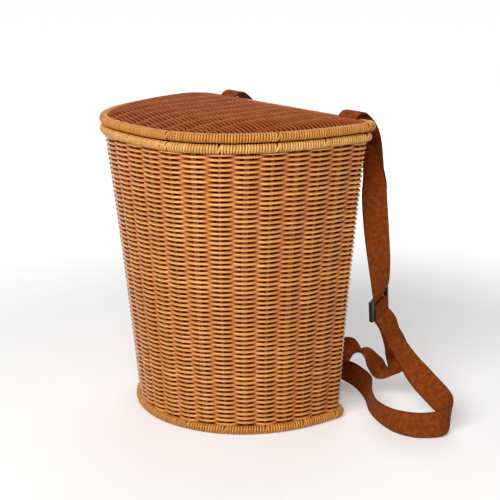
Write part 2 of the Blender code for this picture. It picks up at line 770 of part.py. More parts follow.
def lower_anchor():
    """In through the outer slit, past the inside of one stake, and out through the inner slit."""
    outer_x, inner_x = anchor_places()
    across = Vector((0.0, BACK_LEAN, BODY_RIM_Z - BASE_RIM_Z)).normalized()
    middle = wall_back(ANCHOR_HEIGHT)
    face = middle + WALL_THICKNESS / 2 + ANCHOR_STUB
    inside = middle - WALL_THICKNESS / 2 - SLOT_ROOM - WEBBING_THICKNESS / 2
    turn_y = inside + ANCHOR_BEND
    path = [Vector((outer_x, face, ANCHOR_HEIGHT)), Vector((outer_x, turn_y, ANCHOR_HEIGHT))]
    for degrees in range(330, 269, -BEND_STEP_DEGREES):
        turn = math.radians(degrees)
        x = outer_x - ANCHOR_BEND + ANCHOR_BEND * math.cos(turn)
        path.append(Vector((x, turn_y + ANCHOR_BEND * math.sin(turn), ANCHOR_HEIGHT)))
    for degrees in range(270, 209, -BEND_STEP_DEGREES):
        turn = math.radians(degrees)
        x = inner_x + ANCHOR_BEND + ANCHOR_BEND * math.cos(turn)
        path.append(Vector((x, turn_y + ANCHOR_BEND * math.sin(turn), ANCHOR_HEIGHT)))
    path += [Vector((inner_x, turn_y, ANCHOR_HEIGHT)), Vector((inner_x, face, ANCHOR_HEIGHT))]
    return [(point, across) for point in path]


def strap_route(loop_x):
    """The right-hand strap's middle line with its cross directions, for a loop at that x."""
    slider = slider_pass()
    outside = (Vector((loop_x, wall_back(LOOP_SLOT_Z) + 2 * WALL_THICKNESS, LOOP_SLOT_Z)), Vector(FLAT))
    upper = [hanging_point(loop_x, *row) for row in UPPER_SHARES]
    hanging = smooth([outside, *upper, slider[0]])
    anchor = lower_anchor()
    returning = smooth([slider[-1], *(route_point(*row) for row in RETURN_SHARES), anchor[0]])
    seat = (slider_point(SLIDER_LENGTH / 2, 2 * LAYER), slider_axes()[0])
    low = [route_point(*row) for row in LYING_SHARES + RISE_SHARES]
    lying = smooth([anchor[-1], *low, seat])
    route = hinge_loop(loop_x, hanging) + hanging[:-1] + slider[:-1] + returning[:-1]
    return route + anchor[:-1] + lying + sewn_end(lying)


def make_strap(side, loop_x):
    """One length of webbing as a ribbon with thickness."""
    sign = math.copysign(1, loop_x)
    shape = bmesh.new()
    pairs = []
    for place, across in strap_route(abs(loop_x)):
        half = across * WEBBING_WIDTH / 2
        edges = (place - half, place + half)
        pairs.append([shape.verts.new((sign * edge.x, edge.y, edge.z)) for edge in edges])
    for (left, right), (next_left, next_right) in zip(pairs, pairs[1:]):
        shape.faces.new((left, right, next_right, next_left))
    strap = part_object(f"strap_{side}", finished_mesh(shape, f"strap_{side}"), WEBBING)
    solidify = strap.modifiers.new("Webbing", "SOLIDIFY")
    solidify.thickness = WEBBING_THICKNESS
    solidify.offset = 0.0
    return strap


def make_slider(side, loop_x):
    """A three-bar slider: two side rails, a centre bar and two outer bars set further back."""
    sign = math.copysign(1, loop_x)
    across, down, out = slider_axes()
    name = f"slider_{side}"
    opening = WEBBING_WIDTH + 2 * SLIDER_SIDE_ROOM
    centre = slider_point(0.0, OUTER_BAR_OUT / 2)
    body_size = (opening + 2 * SLIDER_RAIL, SLIDER_LENGTH, SLIDER_DEPTH)
    window_size = (opening, SLIDER_LENGTH * 2, SLIDER_DEPTH * 2)
    pieces = {"body": box_mesh(name, body_size, centre, (across, down, out))}
    pieces["window"] = box_mesh(name + "_window", window_size, centre, (across, down, out))
    reach = (opening + SLIDER_RAIL) / 2
    bars = (("top", -BAR_STEP, OUTER_BAR_OUT), ("middle", 0.0, 0.0), ("bottom", BAR_STEP, OUTER_BAR_OUT))
    for label, along, outwards in bars:
        place = slider_point(along, outwards)
        ends = [place - across * reach, place + across * reach]
        pieces[label] = tube_mesh(f"{name}_{label}", ends, SLIDER_BAR_RADIUS)
    if sign < 0:
        pieces = {label: mirrored(mesh) for label, mesh in pieces.items()}
    slider = part_object(name, pieces["body"], PLASTIC)
    rounding = slider.modifiers.new("Rounding", "BEVEL")
    rounding.width = SLIDER_ROUNDING
    rounding.segments = 2
    boolean(slider, "DIFFERENCE", cutter_object(name + "_window", pieces["window"]))
    for label in ("top", "middle", "bottom"):
        boolean(slider, "UNION", cutter_object(f"{name}_{label}", pieces[label]))
    return slider


def mirrored(mesh):
    """The mesh as seen in a mirror at x = 0."""
    shape = bmesh.new()
    shape.from_mesh(mesh)
    for vertex in shape.verts:
        vertex.co.x = -vertex.co.x
    return finished_mesh(shape, mesh.name)


def smooth_round_pieces():
    for obj in PARTS.objects:
        if obj.type == "MESH":
            obj.data.shade_smooth()
            obj.data.set_sharp_from_angle(angle=math.radians(SHARP_EDGE_DEGREES))


clear_scene()
PARTS = new_collection("wicker_backpack")
CUTTERS = new_collection("cutters")
WALL_CUTS = new_collection("wall_cuts")
LID_CUTS = new_collection("lid_cuts")
BASE_CUTS = new_collection("base_cuts")
SIDES = {"right": LOOP_RIGHT_X, "left": LOOP_LEFT_X}

make_base()
make_stakes()
cut_wall_slots()
make_wall()
hoop("rim_hoop", TOP_PLAN, BODY_RIM_Z)
binding("rim_binding", TOP_PLAN, BODY_RIM_Z)
make_lid()
for strap_side, strap_loop_x in SIDES.items():
    make_strap(strap_side, strap_loop_x)
    make_slider(strap_side, strap_loop_x)
smooth_round_pieces()
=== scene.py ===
"""Looks of the wicker backpack: woven reed, bound rims, webbing straps and a plain studio."""

import math
import random
from bisect import bisect_left
from collections import namedtuple

import bmesh
import bpy
from mathutils import Matrix, Vector


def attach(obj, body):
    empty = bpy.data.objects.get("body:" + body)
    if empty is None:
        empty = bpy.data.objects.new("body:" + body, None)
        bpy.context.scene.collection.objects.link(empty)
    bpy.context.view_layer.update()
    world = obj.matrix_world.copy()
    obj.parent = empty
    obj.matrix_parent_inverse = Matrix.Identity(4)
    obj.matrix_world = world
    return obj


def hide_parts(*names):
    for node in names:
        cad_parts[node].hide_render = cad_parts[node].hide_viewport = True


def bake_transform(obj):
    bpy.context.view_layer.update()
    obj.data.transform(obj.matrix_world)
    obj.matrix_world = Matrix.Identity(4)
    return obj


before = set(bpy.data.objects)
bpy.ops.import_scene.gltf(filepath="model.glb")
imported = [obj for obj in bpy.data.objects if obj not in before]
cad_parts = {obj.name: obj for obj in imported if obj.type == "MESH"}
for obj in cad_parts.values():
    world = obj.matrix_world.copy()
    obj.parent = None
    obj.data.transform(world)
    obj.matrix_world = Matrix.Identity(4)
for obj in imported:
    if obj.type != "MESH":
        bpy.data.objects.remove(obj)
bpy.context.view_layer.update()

# Basket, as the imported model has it, in metres
BASKET_HEIGHT = 0.380
BACK_LEAN = 0.0108
RIM_RADIUS = 0.0057
LID_OVERHANG = 0.0023
LID_BACK_SHIFT = 0.0050
WALL_INSET = 0.0038
WALL_THICKNESS = 0.0064
SIDE_FLARE_SHARE = 0.59
LEAST_CORNER_SHARE = 0.3
LID_RIM_Z = BASKET_HEIGHT - RIM_RADIUS
BODY_RIM_Z = 0.3619
BASE_RIM_Z = 0.0053
WALL_FOOT_Z = 0.0113
WALL_TOP_Z = 0.3559
BASE_MIDDLE_Z = 0.0065
STAKE_RADIUS = 0.0019
FRONT_STAKES = 21
BACK_STAKE_SHARES = (0.70, 0.53, 0.36, 0.18, 0.0, -0.18, -0.36, -0.53, -0.83)
LID_MIDDLE_SHARES = (-0.31, -0.145, 0.02, 0.185, 0.35, 0.51)
LOOP_STAKE_ROOM = 0.0224
BASE_STICK_SHARES = (0.18, 0.39, 0.60, 0.81)
CLEARANCE = 0.0003

# Webbing and slider
WEBBING_WIDTH = 0.0320
WEBBING_THICKNESS = 0.0016
LAYER = WEBBING_THICKNESS + CLEARANCE
LOOP_RADIUS = 0.0132
LOOP_RIGHT_X = 0.1300
LOOP_LEFT_X = -0.1020
LOOP_SLOT_Z = 0.3482
LOOP_BEND = 0.0015
LOOP_LEAVES_AT = 60
SEWN_DROP = 0.0600
SEWN_LENGTH = 0.0280
SLOT_ROOM = 0.0004
ANCHOR_HEIGHT = 0.0720
ANCHOR_OUTER_X = 0.0784
ANCHOR_INNER_X = 0.0567
ANCHOR_BEND = 0.0015
ANCHOR_STUB = 0.0040
SLIDER_PLACE = (0.1434, 0.0560, 0.1375)
SLIDER_ACROSS = (-0.240, 0.914, 0.327)
SLIDER_ALONG = (-0.215, 0.279, -0.936)
SLIDER_LENGTH = 0.0320
SLIDER_BAR_RADIUS = 0.0015
SEWN_TAIL = 0.0300
STRAP_REACH = 0.2650
STRAP_BACK = 0.0828
ROUTE_STEP = 0.0030

# Reed: weavers of the wall, the lid and the base, and the strip wound round the rims
WALL_ROWS = 119
FOOT_TUCK = 0.0012
TOP_TUCK = 0.0068
WALL_BANDS = (("wall_weave_lower", 0, 39), ("wall_weave_middle", 39, 78), ("wall_weave_upper", 78, 119))
WEAVER_HALF_HEIGHT = 0.00188
WEAVER_HALF_DEPTH = 0.00170
WEAVER_SWING = 0.0031
PANEL_PITCH = 0.00285
PANEL_HALF_WIDTH = 0.00134
PANEL_TUCK = 0.0035
PANEL_SWING = 0.0028
PANEL_END_FADE = 0.0080
LEAST_WEAVER = 0.012
LID_CROWN = 0.0092
LID_CROWN_SIDE_EDGE = 0.036
LID_CROWN_FRONT_EDGE = 0.085
LID_CROWN_BACK_EDGE = 0.062
LID_EDGE_LIFT = 0.0004
SAMPLES_PER_SPAN = 8
LID_ROD_STEPS = 40
WRAP_PITCH = 0.00330
WRAP_HALF_WIDTH = 0.00162
WRAP_HALF_THICKNESS = 0.00120
WRAP_STEPS = 18
WRAP_SWELL = (0.985, 1.02)
WRAP_SLANT = 0.10
SPLIT_REACH = 0.11
SPLIT_SLANT = 0.42
SPLIT_SWELL = 1.05
REED_SIDES = 8
STOUT_BETWEEN = (0.1, -0.7)
SPREAD_FULL_AT = -0.60
WALL_SPREAD_FROM = 0.25
PANEL_SPREAD_FROM = 0.65
WALL_UNEVEN = (0.45, 0.45, 1.0)
WALL_UNEVEN_SIZE = 26.0
PANEL_UNEVEN = (1.0, 1.0, 0.4)
PANEL_UNEVEN_SIZE = 30.0

# Where the weave parts for a loop of webbing
SLOT_PARTING = 0.0010
SLOT_REACH = 0.009
WALL_SLOT_HALF_WIDTH = 0.022
LID_SLOT_HALF_WIDTH = 0.020

# Colours and grain
REED_LENGTH = 0.55
GRAIN_ALONG = 55.0
GRAIN_AROUND = 9.0
PATCH_ALONG = 22.0
# Painted shade: how strongly each reed's sides are darkened where it meets the next, and the dark tint
# multiplied in there and behind the stakes
GROOVE_SHADE = 0.75
SHADE_TINT = (0.22, 0.11, 0.06)
WALL_TONES = ((0.38, 0.075, 0.004), (0.62, 0.160, 0.009), (0.94, 0.44, 0.10))
LID_TONES = ((0.16, 0.028, 0.005), (0.28, 0.060, 0.011), (0.40, 0.105, 0.024))
BODY_RIM_TONES = ((0.50, 0.20, 0.035), (0.74, 0.37, 0.085), (0.92, 0.60, 0.24))
RIM_TONES = ((0.42, 0.135, 0.018), (0.62, 0.240, 0.036), (0.80, 0.40, 0.085))
ROD_TONES = ((0.3, (0.26, 0.085, 0.014)), (0.55, (0.42, 0.165, 0.032)), (0.75, (0.58, 0.28, 0.075)))
ROD_GRAIN = (900.0, 900.0, 60.0)
WEBBING_TONES = ((0.25, (0.150, 0.027, 0.003)), (0.5, (0.220, 0.043, 0.005)), (0.78, (0.32, 0.075, 0.010)))
WEBBING_SELVEDGE = (0.0138, 0.0160)
SELVEDGE_TINT = (0.35, 0.28, 0.25)
RIB_PITCH = 0.0021
YARN_PITCH = 0.0014

UPRIGHT = (0.0, 0.0, 1.0)
FLAT = (1.0, 0.0, 0.0)

Plan = namedtuple("Plan", "width depth corner powers back")
TOP_PLAN = Plan(0.3287, 0.2316, 0.010, (2.67, 2.58), BACK_LEAN)
BASE_PLAN = Plan(0.2851, 0.1905, 0.018, (1.90, 2.69), 0.0)
LID_PLAN = Plan(
    TOP_PLAN.width + 2 * LID_OVERHANG,
    TOP_PLAN.depth + 2 * LID_OVERHANG,
    TOP_PLAN.corner + LID_OVERHANG,
    TOP_PLAN.powers,
    BACK_LEAN + LID_BACK_SHIFT,
)
FRONT_STEPS = 34
CORNER_STEPS = 3
BACK_STEPS = 5
RING_STEPS = FRONT_STEPS + 2 * CORNER_STEPS + BACK_STEPS
CURVE_SAMPLES = 1600
ALONG_STEP = 0.05
FINE_STEPS = 40


def mix(low, high, share):
    return low + (high - low) * share


# Plans and rings


def front_line(plan, inset):
    """The rounded front of a plan, drawn in by inset, as a fine line from left to right."""
    radius = max(plan.corner - inset, plan.corner * LEAST_CORNER_SHARE)
    line = []
    for step in range(CURVE_SAMPLES + 1):
        angle = math.pi * (1 + step / CURVE_SAMPLES)
        cos, sin = math.cos(angle), abs(math.sin(angle))
        x = plan.width / 2 * math.copysign(abs(cos) ** (2 / plan.powers[0]), cos)
        y = -plan.depth * sin ** (2 / plan.powers[1])
        if y <= -(inset + radius):
            line.append(Vector((x, y)))
    line = even_points(line, FRONT_STEPS * 8 + 1)
    moved = []
    for index, point in enumerate(line):
        along = line[min(index + 1, len(line) - 1)] - line[max(index - 1, 0)]
        moved.append(point + Vector((-along.y, along.x)).normalized() * inset)
    return moved


def walked(points):
    """The distance walked along a line at each of its points."""
    lengths = [0.0]
    for near, far in zip(points, points[1:]):
        lengths.append(lengths[-1] + (far - near).length)
    return lengths


def at_distance(lengths, distance):
    """The side of a walked line that a distance lies on, and the share of that side."""
    index = min(max(bisect_left(lengths, distance) - 1, 0), len(lengths) - 2)
    return index, (distance - lengths[index]) / (lengths[index + 1] - lengths[index])


def even_points(points, count):
    """That many points at even steps along an open line, its ends among them."""
    lengths = walked(points)
    found = []
    for step in range(count):
        index, share = at_distance(lengths, lengths[-1] * step / (count - 1))
        found.append(points[index].lerp(points[index + 1], share))
    return found


class Ring:
    """A plan's outline drawn in by inset; at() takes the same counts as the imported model's rings."""

    def __init__(self, plan, inset):
        self.plan = plan
        self.inset = inset
        self.radius = max(plan.corner - inset, plan.corner * LEAST_CORNER_SHARE)
        self.front = front_line(plan, inset)
        self.side = self.front[-1].x
        self.front_points = [Vector((point.x, point.y + plan.back)) for point in self.front[::3]]

    def at(self, place):
        place %= RING_STEPS
        reach = self.side - self.radius
        if place <= FRONT_STEPS:
            step = place * 8
            index = min(int(step), len(self.front) - 2)
            found = self.front[index].lerp(self.front[index + 1], step - index)
        elif place <= FRONT_STEPS + CORNER_STEPS:
            turn = math.pi / 2 * (place - FRONT_STEPS) / CORNER_STEPS
            found = self.corner(reach, turn)
        elif place <= FRONT_STEPS + CORNER_STEPS + BACK_STEPS:
            share = (place - FRONT_STEPS - CORNER_STEPS) / BACK_STEPS
            found = Vector((mix(reach, -reach, share), -self.inset))
        else:
            turn = math.pi / 2 * (1 + (place - FRONT_STEPS - CORNER_STEPS - BACK_STEPS) / CORNER_STEPS)
            found = self.corner(-reach, turn)
        return Vector((found.x, found.y + self.plan.back))

    def corner(self, middle, turn):
        x = middle + self.radius * math.cos(turn)
        return Vector((x, -self.inset - self.radius + self.radius * math.sin(turn)))

    def along(self, place):
        return self.at(place + ALONG_STEP) - self.at(place - ALONG_STEP)

    def outward(self, place):
        """The horizontal direction away from the basket."""
        along = self.along(place)
        return Vector((along.y, -along.x, 0.0)).normalized()

    def even_places(self, pitch):
        """Places at even distances all the way round."""
        fine = [step / FINE_STEPS for step in range(RING_STEPS * FINE_STEPS + 1)]
        lengths = walked([self.at(place) for place in fine])
        count = round(lengths[-1] / pitch)
        found = []
        for step in range(count):
            index, share = at_distance(lengths, lengths[-1] * step / count)
            found.append(mix(fine[index], fine[index + 1], share))
        return found

    def outline(self, turned=False):
        """Fine points all the way round, with x and y changed over if it is turned."""
        points = [self.at(step / 8) for step in range(RING_STEPS * 8)]
        return [Vector((point.y, point.x)) for point in points] if turned else points


def stake_places():
    """Where the stakes stand, as places round a ring, in order."""
    ring = Ring(TOP_PLAN, WALL_INSET)
    lengths = walked([ring.at(step) for step in range(FRONT_STEPS + 1)])
    found = []
    for number in range(FRONT_STAKES):
        found.append(sum(at_distance(lengths, lengths[-1] * number / (FRONT_STAKES - 1))))
    for share in BACK_STAKE_SHARES:
        found.append(FRONT_STEPS + CORNER_STEPS + (1 - share) / 2 * BACK_STEPS)
    return found


def crossings(outline, across):
    """Where the line y = across enters and leaves an outline."""
    hits = []
    for near, far in zip(outline, outline[1:] + outline[:1]):
        if (near.y - across) * (far.y - across) <= 0 and near.y != far.y:
            hits.append(mix(near.x, far.x, (across - near.y) / (far.y - near.y)))
    return min(hits), max(hits)


# Node trees


class Nodes:
    """A short way to write a node tree."""

    def __init__(self, tree):
        self.tree = tree

    def add(self, kind, inputs=None, **settings):
        node = self.tree.nodes.new(kind)
        for name, value in settings.items():
            setattr(node, name, value)
        for key, value in (inputs or {}).items():
            self.feed(node.inputs[key], value)
        return node

    def feed(self, socket, value):
        if isinstance(value, bpy.types.Node):
            value = next(output for output in value.outputs if output.enabled)
        if isinstance(value, bpy.types.NodeSocket):
            self.tree.links.new(value, socket)
        else:
            socket.default_value = value

    def math(self, operation, first, second=0.0, third=0.0):
        return self.add("ShaderNodeMath", {0: first, 1: second, 2: third}, operation=operation)

    def plus(self, first, second):
        return self.math("ADD", first, second)

    def less(self, first, second):
        return self.math("SUBTRACT", first, second)

    def times(self, first, second):
        return self.math("MULTIPLY", first, second)

    def times_plus(self, first, second, third):
        return self.math("MULTIPLY_ADD", first, second, third)

    def size_of(self, value):
        return self.math("ABSOLUTE", value)

    def vector(self, operation, first, second):
        return self.add("ShaderNodeVectorMath", {0: first, 1: second}, operation=operation)

    def scaled(self, vector, factor):
        return self.add("ShaderNodeVectorMath", {0: vector, "Scale": factor}, operation="SCALE")

    def ranged(self, value, low, high, to_low=0.0, to_high=1.0):
        inputs = {"Value": value, "From Min": low, "From Max": high, "To Min": to_low, "To Max": to_high}
        return self.add("ShaderNodeMapRange", inputs).outputs["Result"]

    def joined(self, **parts):
        return self.add("ShaderNodeCombineXYZ", parts)

    def noise(self, place, size, detail):
        inputs = {"Vector": place, "Scale": size, "Detail": detail}
        return self.add("ShaderNodeTexNoise", inputs).outputs["Fac"]


SOCKET_KINDS = {float: "NodeSocketFloat", int: "NodeSocketInt", type(None): "NodeSocketMaterial"}


class Maker(Nodes):
    """A Geometry Nodes tree that makes one kind of piece, with named inputs."""

    def __init__(self, name, inputs):
        super().__init__(bpy.data.node_groups.new(name, "GeometryNodeTree"))
        interface = self.tree.interface
        interface.new_socket("Geometry", in_out="INPUT", socket_type="NodeSocketGeometry")
        self.names = {}
        for label, value in inputs.items():
            kind = SOCKET_KINDS[type(value)]
            socket = interface.new_socket(label, in_out="INPUT", socket_type=kind)
            if value is not None:
                socket.default_value = value
            self.names[label] = socket.identifier
        interface.new_socket("Geometry", in_out="OUTPUT", socket_type="NodeSocketGeometry")
        self.given = self.tree.nodes.new("NodeGroupInput")
        self.result = self.tree.nodes.new("NodeGroupOutput")

    def value(self, label):
        return self.given.outputs[label]

    def stored(self, name, kind="FLOAT"):
        found = self.add("GeometryNodeInputNamedAttribute", {"Name": name}, data_type=kind)
        return found.outputs["Attribute"]

    def stored_vector(self, name):
        return self.stored(name, "FLOAT_VECTOR")

    def store(self, geometry, name, value, kind="FLOAT", domain="POINT"):
        inputs = {"Geometry": geometry, "Name": name}
        node = self.add("GeometryNodeStoreNamedAttribute", inputs, data_type=kind, domain=domain)
        self.feed(node.inputs["Value"], value)
        return node

    def lines(self):
        return self.add("GeometryNodeMeshToCurve", {"Mesh": self.value("Geometry")})

    def position(self):
        return self.add("GeometryNodeInputPosition")

    def moved(self, geometry, offset):
        return self.add("GeometryNodeSetPosition", {"Geometry": geometry, "Offset": offset})

    def chance(self, seed, low=0.0, high=1.0, **inputs):
        """A random number for each element."""
        inputs |= {2: low, 3: high, "Seed": seed}
        return self.add("FunctionNodeRandomValue", inputs, data_type="FLOAT").outputs[1]

    def end(self, geometry):
        """Ends the tree: everything real, in the finish that was given."""
        real = self.add("GeometryNodeRealizeInstances", {"Geometry": geometry})
        smooth = self.add("GeometryNodeSetShadeSmooth", {"Geometry": real})
        finish = self.add("GeometryNodeSetMaterial", {"Geometry": smooth, "Material": self.value("Finish")})
        self.feed(self.result.inputs["Geometry"], finish)

    def apply(self, name, guide, values):
        """The plain mesh that the tree makes from the guide."""
        holder = new_object(name, guide)
        modifier = holder.modifiers.new(name, "NODES")
        modifier.node_group = self.tree
        for label, value in values.items():
            modifier[self.names[label]] = value
        graph = bpy.context.evaluated_depsgraph_get()
        mesh = bpy.data.meshes.new_from_object(holder.evaluated_get(graph))
        mesh.name = name
        holder.modifiers.clear()
        holder.data = mesh
        bpy.data.meshes.remove(guide)
        return holder


def new_object(name, data):
    made = bpy.data.objects.new(name, data)
    bpy.context.scene.collection.objects.link(made)
    return made


def guide_mesh(name, points, edges, floats=None, vectors=None):
    """Points and lines that a tree builds on, with their attributes."""
    mesh = bpy.data.meshes.new(name + "_guide")
    mesh.from_pydata([tuple(point) for point in points], edges, [])
    for label, values in (floats or {}).items():
        mesh.attributes.new(label, "FLOAT", "POINT").data.foreach_set("value", values)
    for label, values in (vectors or {}).items():
        flat = [part for value in values for part in value]
        mesh.attributes.new(label, "FLOAT_VECTOR", "POINT").data.foreach_set("vector", flat)
    return mesh


def reed_along(maker, curves, half_width, half_height):
    """Sweeps an oval reed along the curves and keeps where each point lies on it."""
    length = maker.add("GeometryNodeSplineParameter").outputs["Length"]
    measured = maker.store(curves, "along", length)
    upright = maker.add("GeometryNodeSetCurveNormal", {"Curve": measured}, mode="Z_UP")
    circle = maker.add("GeometryNodeCurvePrimitiveCircle", {"Resolution": REED_SIDES, "Radius": 1.0})
    round_share = maker.add("GeometryNodeSplineParameter").outputs["Factor"]
    marked = maker.store(circle.outputs["Curve"], "around", round_share)
    size = maker.joined(X=half_width, Y=half_height, Z=1.0)
    profile = maker.add("GeometryNodeTransform", {"Geometry": marked, "Scale": size})
    inputs = {"Curve": upright, "Profile Curve": profile, "Fill Caps": True}
    return maker.add("GeometryNodeCurveToMesh", inputs)


def weaver_along(maker, curves, half_width, half_height, stoutness, spread, directions, spread_from):
    """Sweeps a weaver that is stouter, and pressed broader in some directions, where it lies behind."""
    radius = maker.ranged(maker.stored("crest"), *STOUT_BETWEEN, 1.0, stoutness)
    stout = maker.add("GeometryNodeSetCurveRadius", {"Curve": curves, "Radius": radius})
    kept = maker.store(stout, "middle", maker.position(), "FLOAT_VECTOR")
    swept = reed_along(maker, kept, half_width, half_height)
    from_middle = maker.vector("SUBTRACT", maker.position(), maker.stored_vector("middle"))
    behind = maker.ranged(maker.stored("crest"), spread_from, SPREAD_FULL_AT, 0.0, spread)
    return maker.moved(swept, maker.scaled(maker.vector("MULTIPLY", from_middle, directions), behind))


def wandering(maker, amount, size, seed):
    """A small smooth unevenness, as a vector."""
    noise = maker.add("ShaderNodeTexNoise", {"Scale": size, "Detail": 1.0, "W": seed}, noise_dimensions="4D")
    centred = maker.vector("SUBTRACT", noise.outputs["Color"], (0.5, 0.5, 0.5))
    return maker.scaled(centred, amount)


def wall_weaver_tree():
    """Rows of weavers between the foot ring and the top ring, each over one stake and behind the next."""
    maker = Maker("wall_weavers", {
        "Rows": WALL_ROWS,
        "First Row": 0,
        "Last Row": WALL_ROWS,
        "Foot Height": WALL_FOOT_Z - FOOT_TUCK,
        "Top Height": WALL_TOP_Z + TOP_TUCK,
        "Swing": WEAVER_SWING,
        "Half Depth": WEAVER_HALF_DEPTH,
        "Half Height": WEAVER_HALF_HEIGHT,
        "Unevenness": 0.0010,
        "Inside Stoutness": 1.20,
        "Inside Spread": 0.85,
        "Slot Height": LOOP_SLOT_Z,
        "Slot Opening": SLOT_PARTING,
        "Seed": 3,
        "Finish": None,
    })
    value, plus, less, times = maker.value, maker.plus, maker.less, maker.times
    copies = maker.add("GeometryNodeDuplicateElements", {"Geometry": maker.lines()}, domain="SPLINE")
    maker.feed(copies.inputs["Amount"], less(value("Last Row"), value("First Row")))
    row = plus(copies.outputs["Duplicate Index"], value("First Row"))
    kept = maker.store(copies.outputs["Geometry"], "row", row, domain="CURVE")
    row = maker.stored("row")
    room = less(less(value("Top Height"), value("Foot Height")), value("Half Height"))
    step = maker.math("DIVIDE", less(room, value("Half Height")), less(value("Rows"), 1.0))
    height = plus(maker.times_plus(row, step, value("Foot Height")), value("Half Height"))
    share = maker.math("DIVIDE", less(height, BASE_RIM_Z), BODY_RIM_Z - BASE_RIM_Z)
    bowed = times(times(share, less(share, 1.0)), SIDE_FLARE_SHARE)
    low = maker.add("ShaderNodeSeparateXYZ", {0: maker.position()})
    high = maker.add("ShaderNodeSeparateXYZ", {0: maker.stored_vector("top_place")})
    parts = {}
    for axis, factor in (("X", plus(share, bowed)), ("Y", share)):
        blend = maker.add("ShaderNodeMix", {"Factor": factor}, clamp_factor=False)
        maker.feed(blend.inputs["A"], low.outputs[axis])
        maker.feed(blend.inputs["B"], high.outputs[axis])
        parts[axis] = blend.outputs["Result"]
    above = less(height, value("Slot Height"))
    near = maker.ranged(maker.size_of(above), 0.0, SLOT_REACH, 1.0, 0.0)
    parted = times(times(maker.math("SIGN", above), near), maker.stored("slot"))
    parts["Z"] = maker.times_plus(parted, value("Slot Opening"), height)
    side = less(1.0, times(maker.math("MODULO", row, 2.0), 2.0))
    crested = maker.store(kept, "crest", times(maker.stored("wave"), side))
    risen = maker.add("GeometryNodeSetPosition", {"Geometry": crested, "Position": maker.joined(**parts)})
    swing = times(maker.stored("crest"), value("Swing"))
    outwards = maker.scaled(maker.stored_vector("outward"), swing)
    uneven = wandering(maker, value("Unevenness"), WALL_UNEVEN_SIZE, value("Seed"))
    woven = maker.moved(risen, maker.vector("ADD", outwards, maker.vector("MULTIPLY", uneven, WALL_UNEVEN)))
    toned = maker.store(woven, "strand", maker.chance(value("Seed"), ID=row), domain="CURVE")
    maker.end(weaver_along(
        maker, toned, value("Half Depth"), value("Half Height"),
        value("Inside Stoutness"), value("Inside Spread"), (0.0, 0.0, 1.0), WALL_SPREAD_FROM,
    ))
    return maker


def panel_weaver_tree():
    """Straight weavers of a flat panel, each over one rod and under the next."""
    maker = Maker("panel_weavers", {
        "Swing": PANEL_SWING,
        "Half Width": PANEL_HALF_WIDTH,
        "Half Depth": WEAVER_HALF_DEPTH,
        "Unevenness": 0.0009,
        "Underside Stoutness": 1.20,
        "Underside Spread": 1.45,
        "Seed": 5,
        "Finish": None,
    })
    value = maker.value
    crested = maker.store(maker.lines(), "crest", maker.stored("wave"))
    lifted = maker.joined(Z=maker.times(maker.stored("wave"), value("Swing")))
    wander = wandering(maker, value("Unevenness"), PANEL_UNEVEN_SIZE, value("Seed"))
    uneven = maker.vector("MULTIPLY", wander, PANEL_UNEVEN)
    woven = maker.moved(crested, maker.vector("ADD", lifted, uneven))
    maker.end(weaver_along(
        maker, woven, value("Half Width"), value("Half Depth"),
        value("Underside Stoutness"), value("Underside Spread"), (1.0, 1.0, 0.0), PANEL_SPREAD_FROM,
    ))
    return maker


def wrap_tree():
    """One turn of reed on each point of a rim."""
    maker = Maker("reed_wrap", {
        "Rim Radius": RIM_RADIUS,
        "Half Width": WRAP_HALF_WIDTH,
        "Half Thickness": WRAP_HALF_THICKNESS,
        "Unevenness": 0.035,
        "Seed": 7,
        "Finish": None,
    })
    value = maker.value
    radius = maker.less(value("Rim Radius"), value("Half Thickness"))
    circle = maker.add("GeometryNodeCurvePrimitiveCircle", {"Resolution": WRAP_STEPS, "Radius": radius})
    turn = reed_along(maker, circle.outputs["Curve"], value("Half Thickness"), value("Half Width"))
    points = maker.add("GeometryNodeMeshToPoints", {"Mesh": value("Geometry")})
    along = {"Vector": maker.stored_vector("run")}
    align = maker.add("FunctionNodeAlignRotationToVector", along, axis="Z")
    up = {"Rotation": align, "Vector": UPRIGHT}
    upright = maker.add("FunctionNodeAlignRotationToVector", up, axis="Y", pivot_axis="Z")
    jitter = maker.chance(value("Seed"), -1.0, 1.0)
    lean = maker.times_plus(jitter, value("Unevenness"), maker.stored("lean"))
    tilt = maker.add("FunctionNodeAxisAngleToRotation", {"Axis": (1.0, 0.0, 0.0), "Angle": lean})
    leaning = {"Rotation": upright, "Rotate By": tilt}
    leaned = maker.add("FunctionNodeRotateRotation", leaning, rotation_space="LOCAL")
    swell = maker.chance(maker.plus(value("Seed"), 1), *WRAP_SWELL)
    size = maker.times(swell, maker.stored("swell"))
    turns = {"Points": points, "Instance": turn, "Rotation": leaned, "Scale": size}
    wound = maker.add("GeometryNodeInstanceOnPoints", turns)
    tone = maker.chance(maker.plus(value("Seed"), 2))
    maker.end(maker.store(wound, "strand", tone, domain="INSTANCE"))
    return maker


def loose_reed_tree():
    """Round rods or reeds along the lines."""
    maker = Maker("loose_reeds", {"Radius": STAKE_RADIUS, "Finish": None})
    maker.end(reed_along(maker, maker.lines(), maker.value("Radius"), maker.value("Radius")))
    return maker


# Finishes


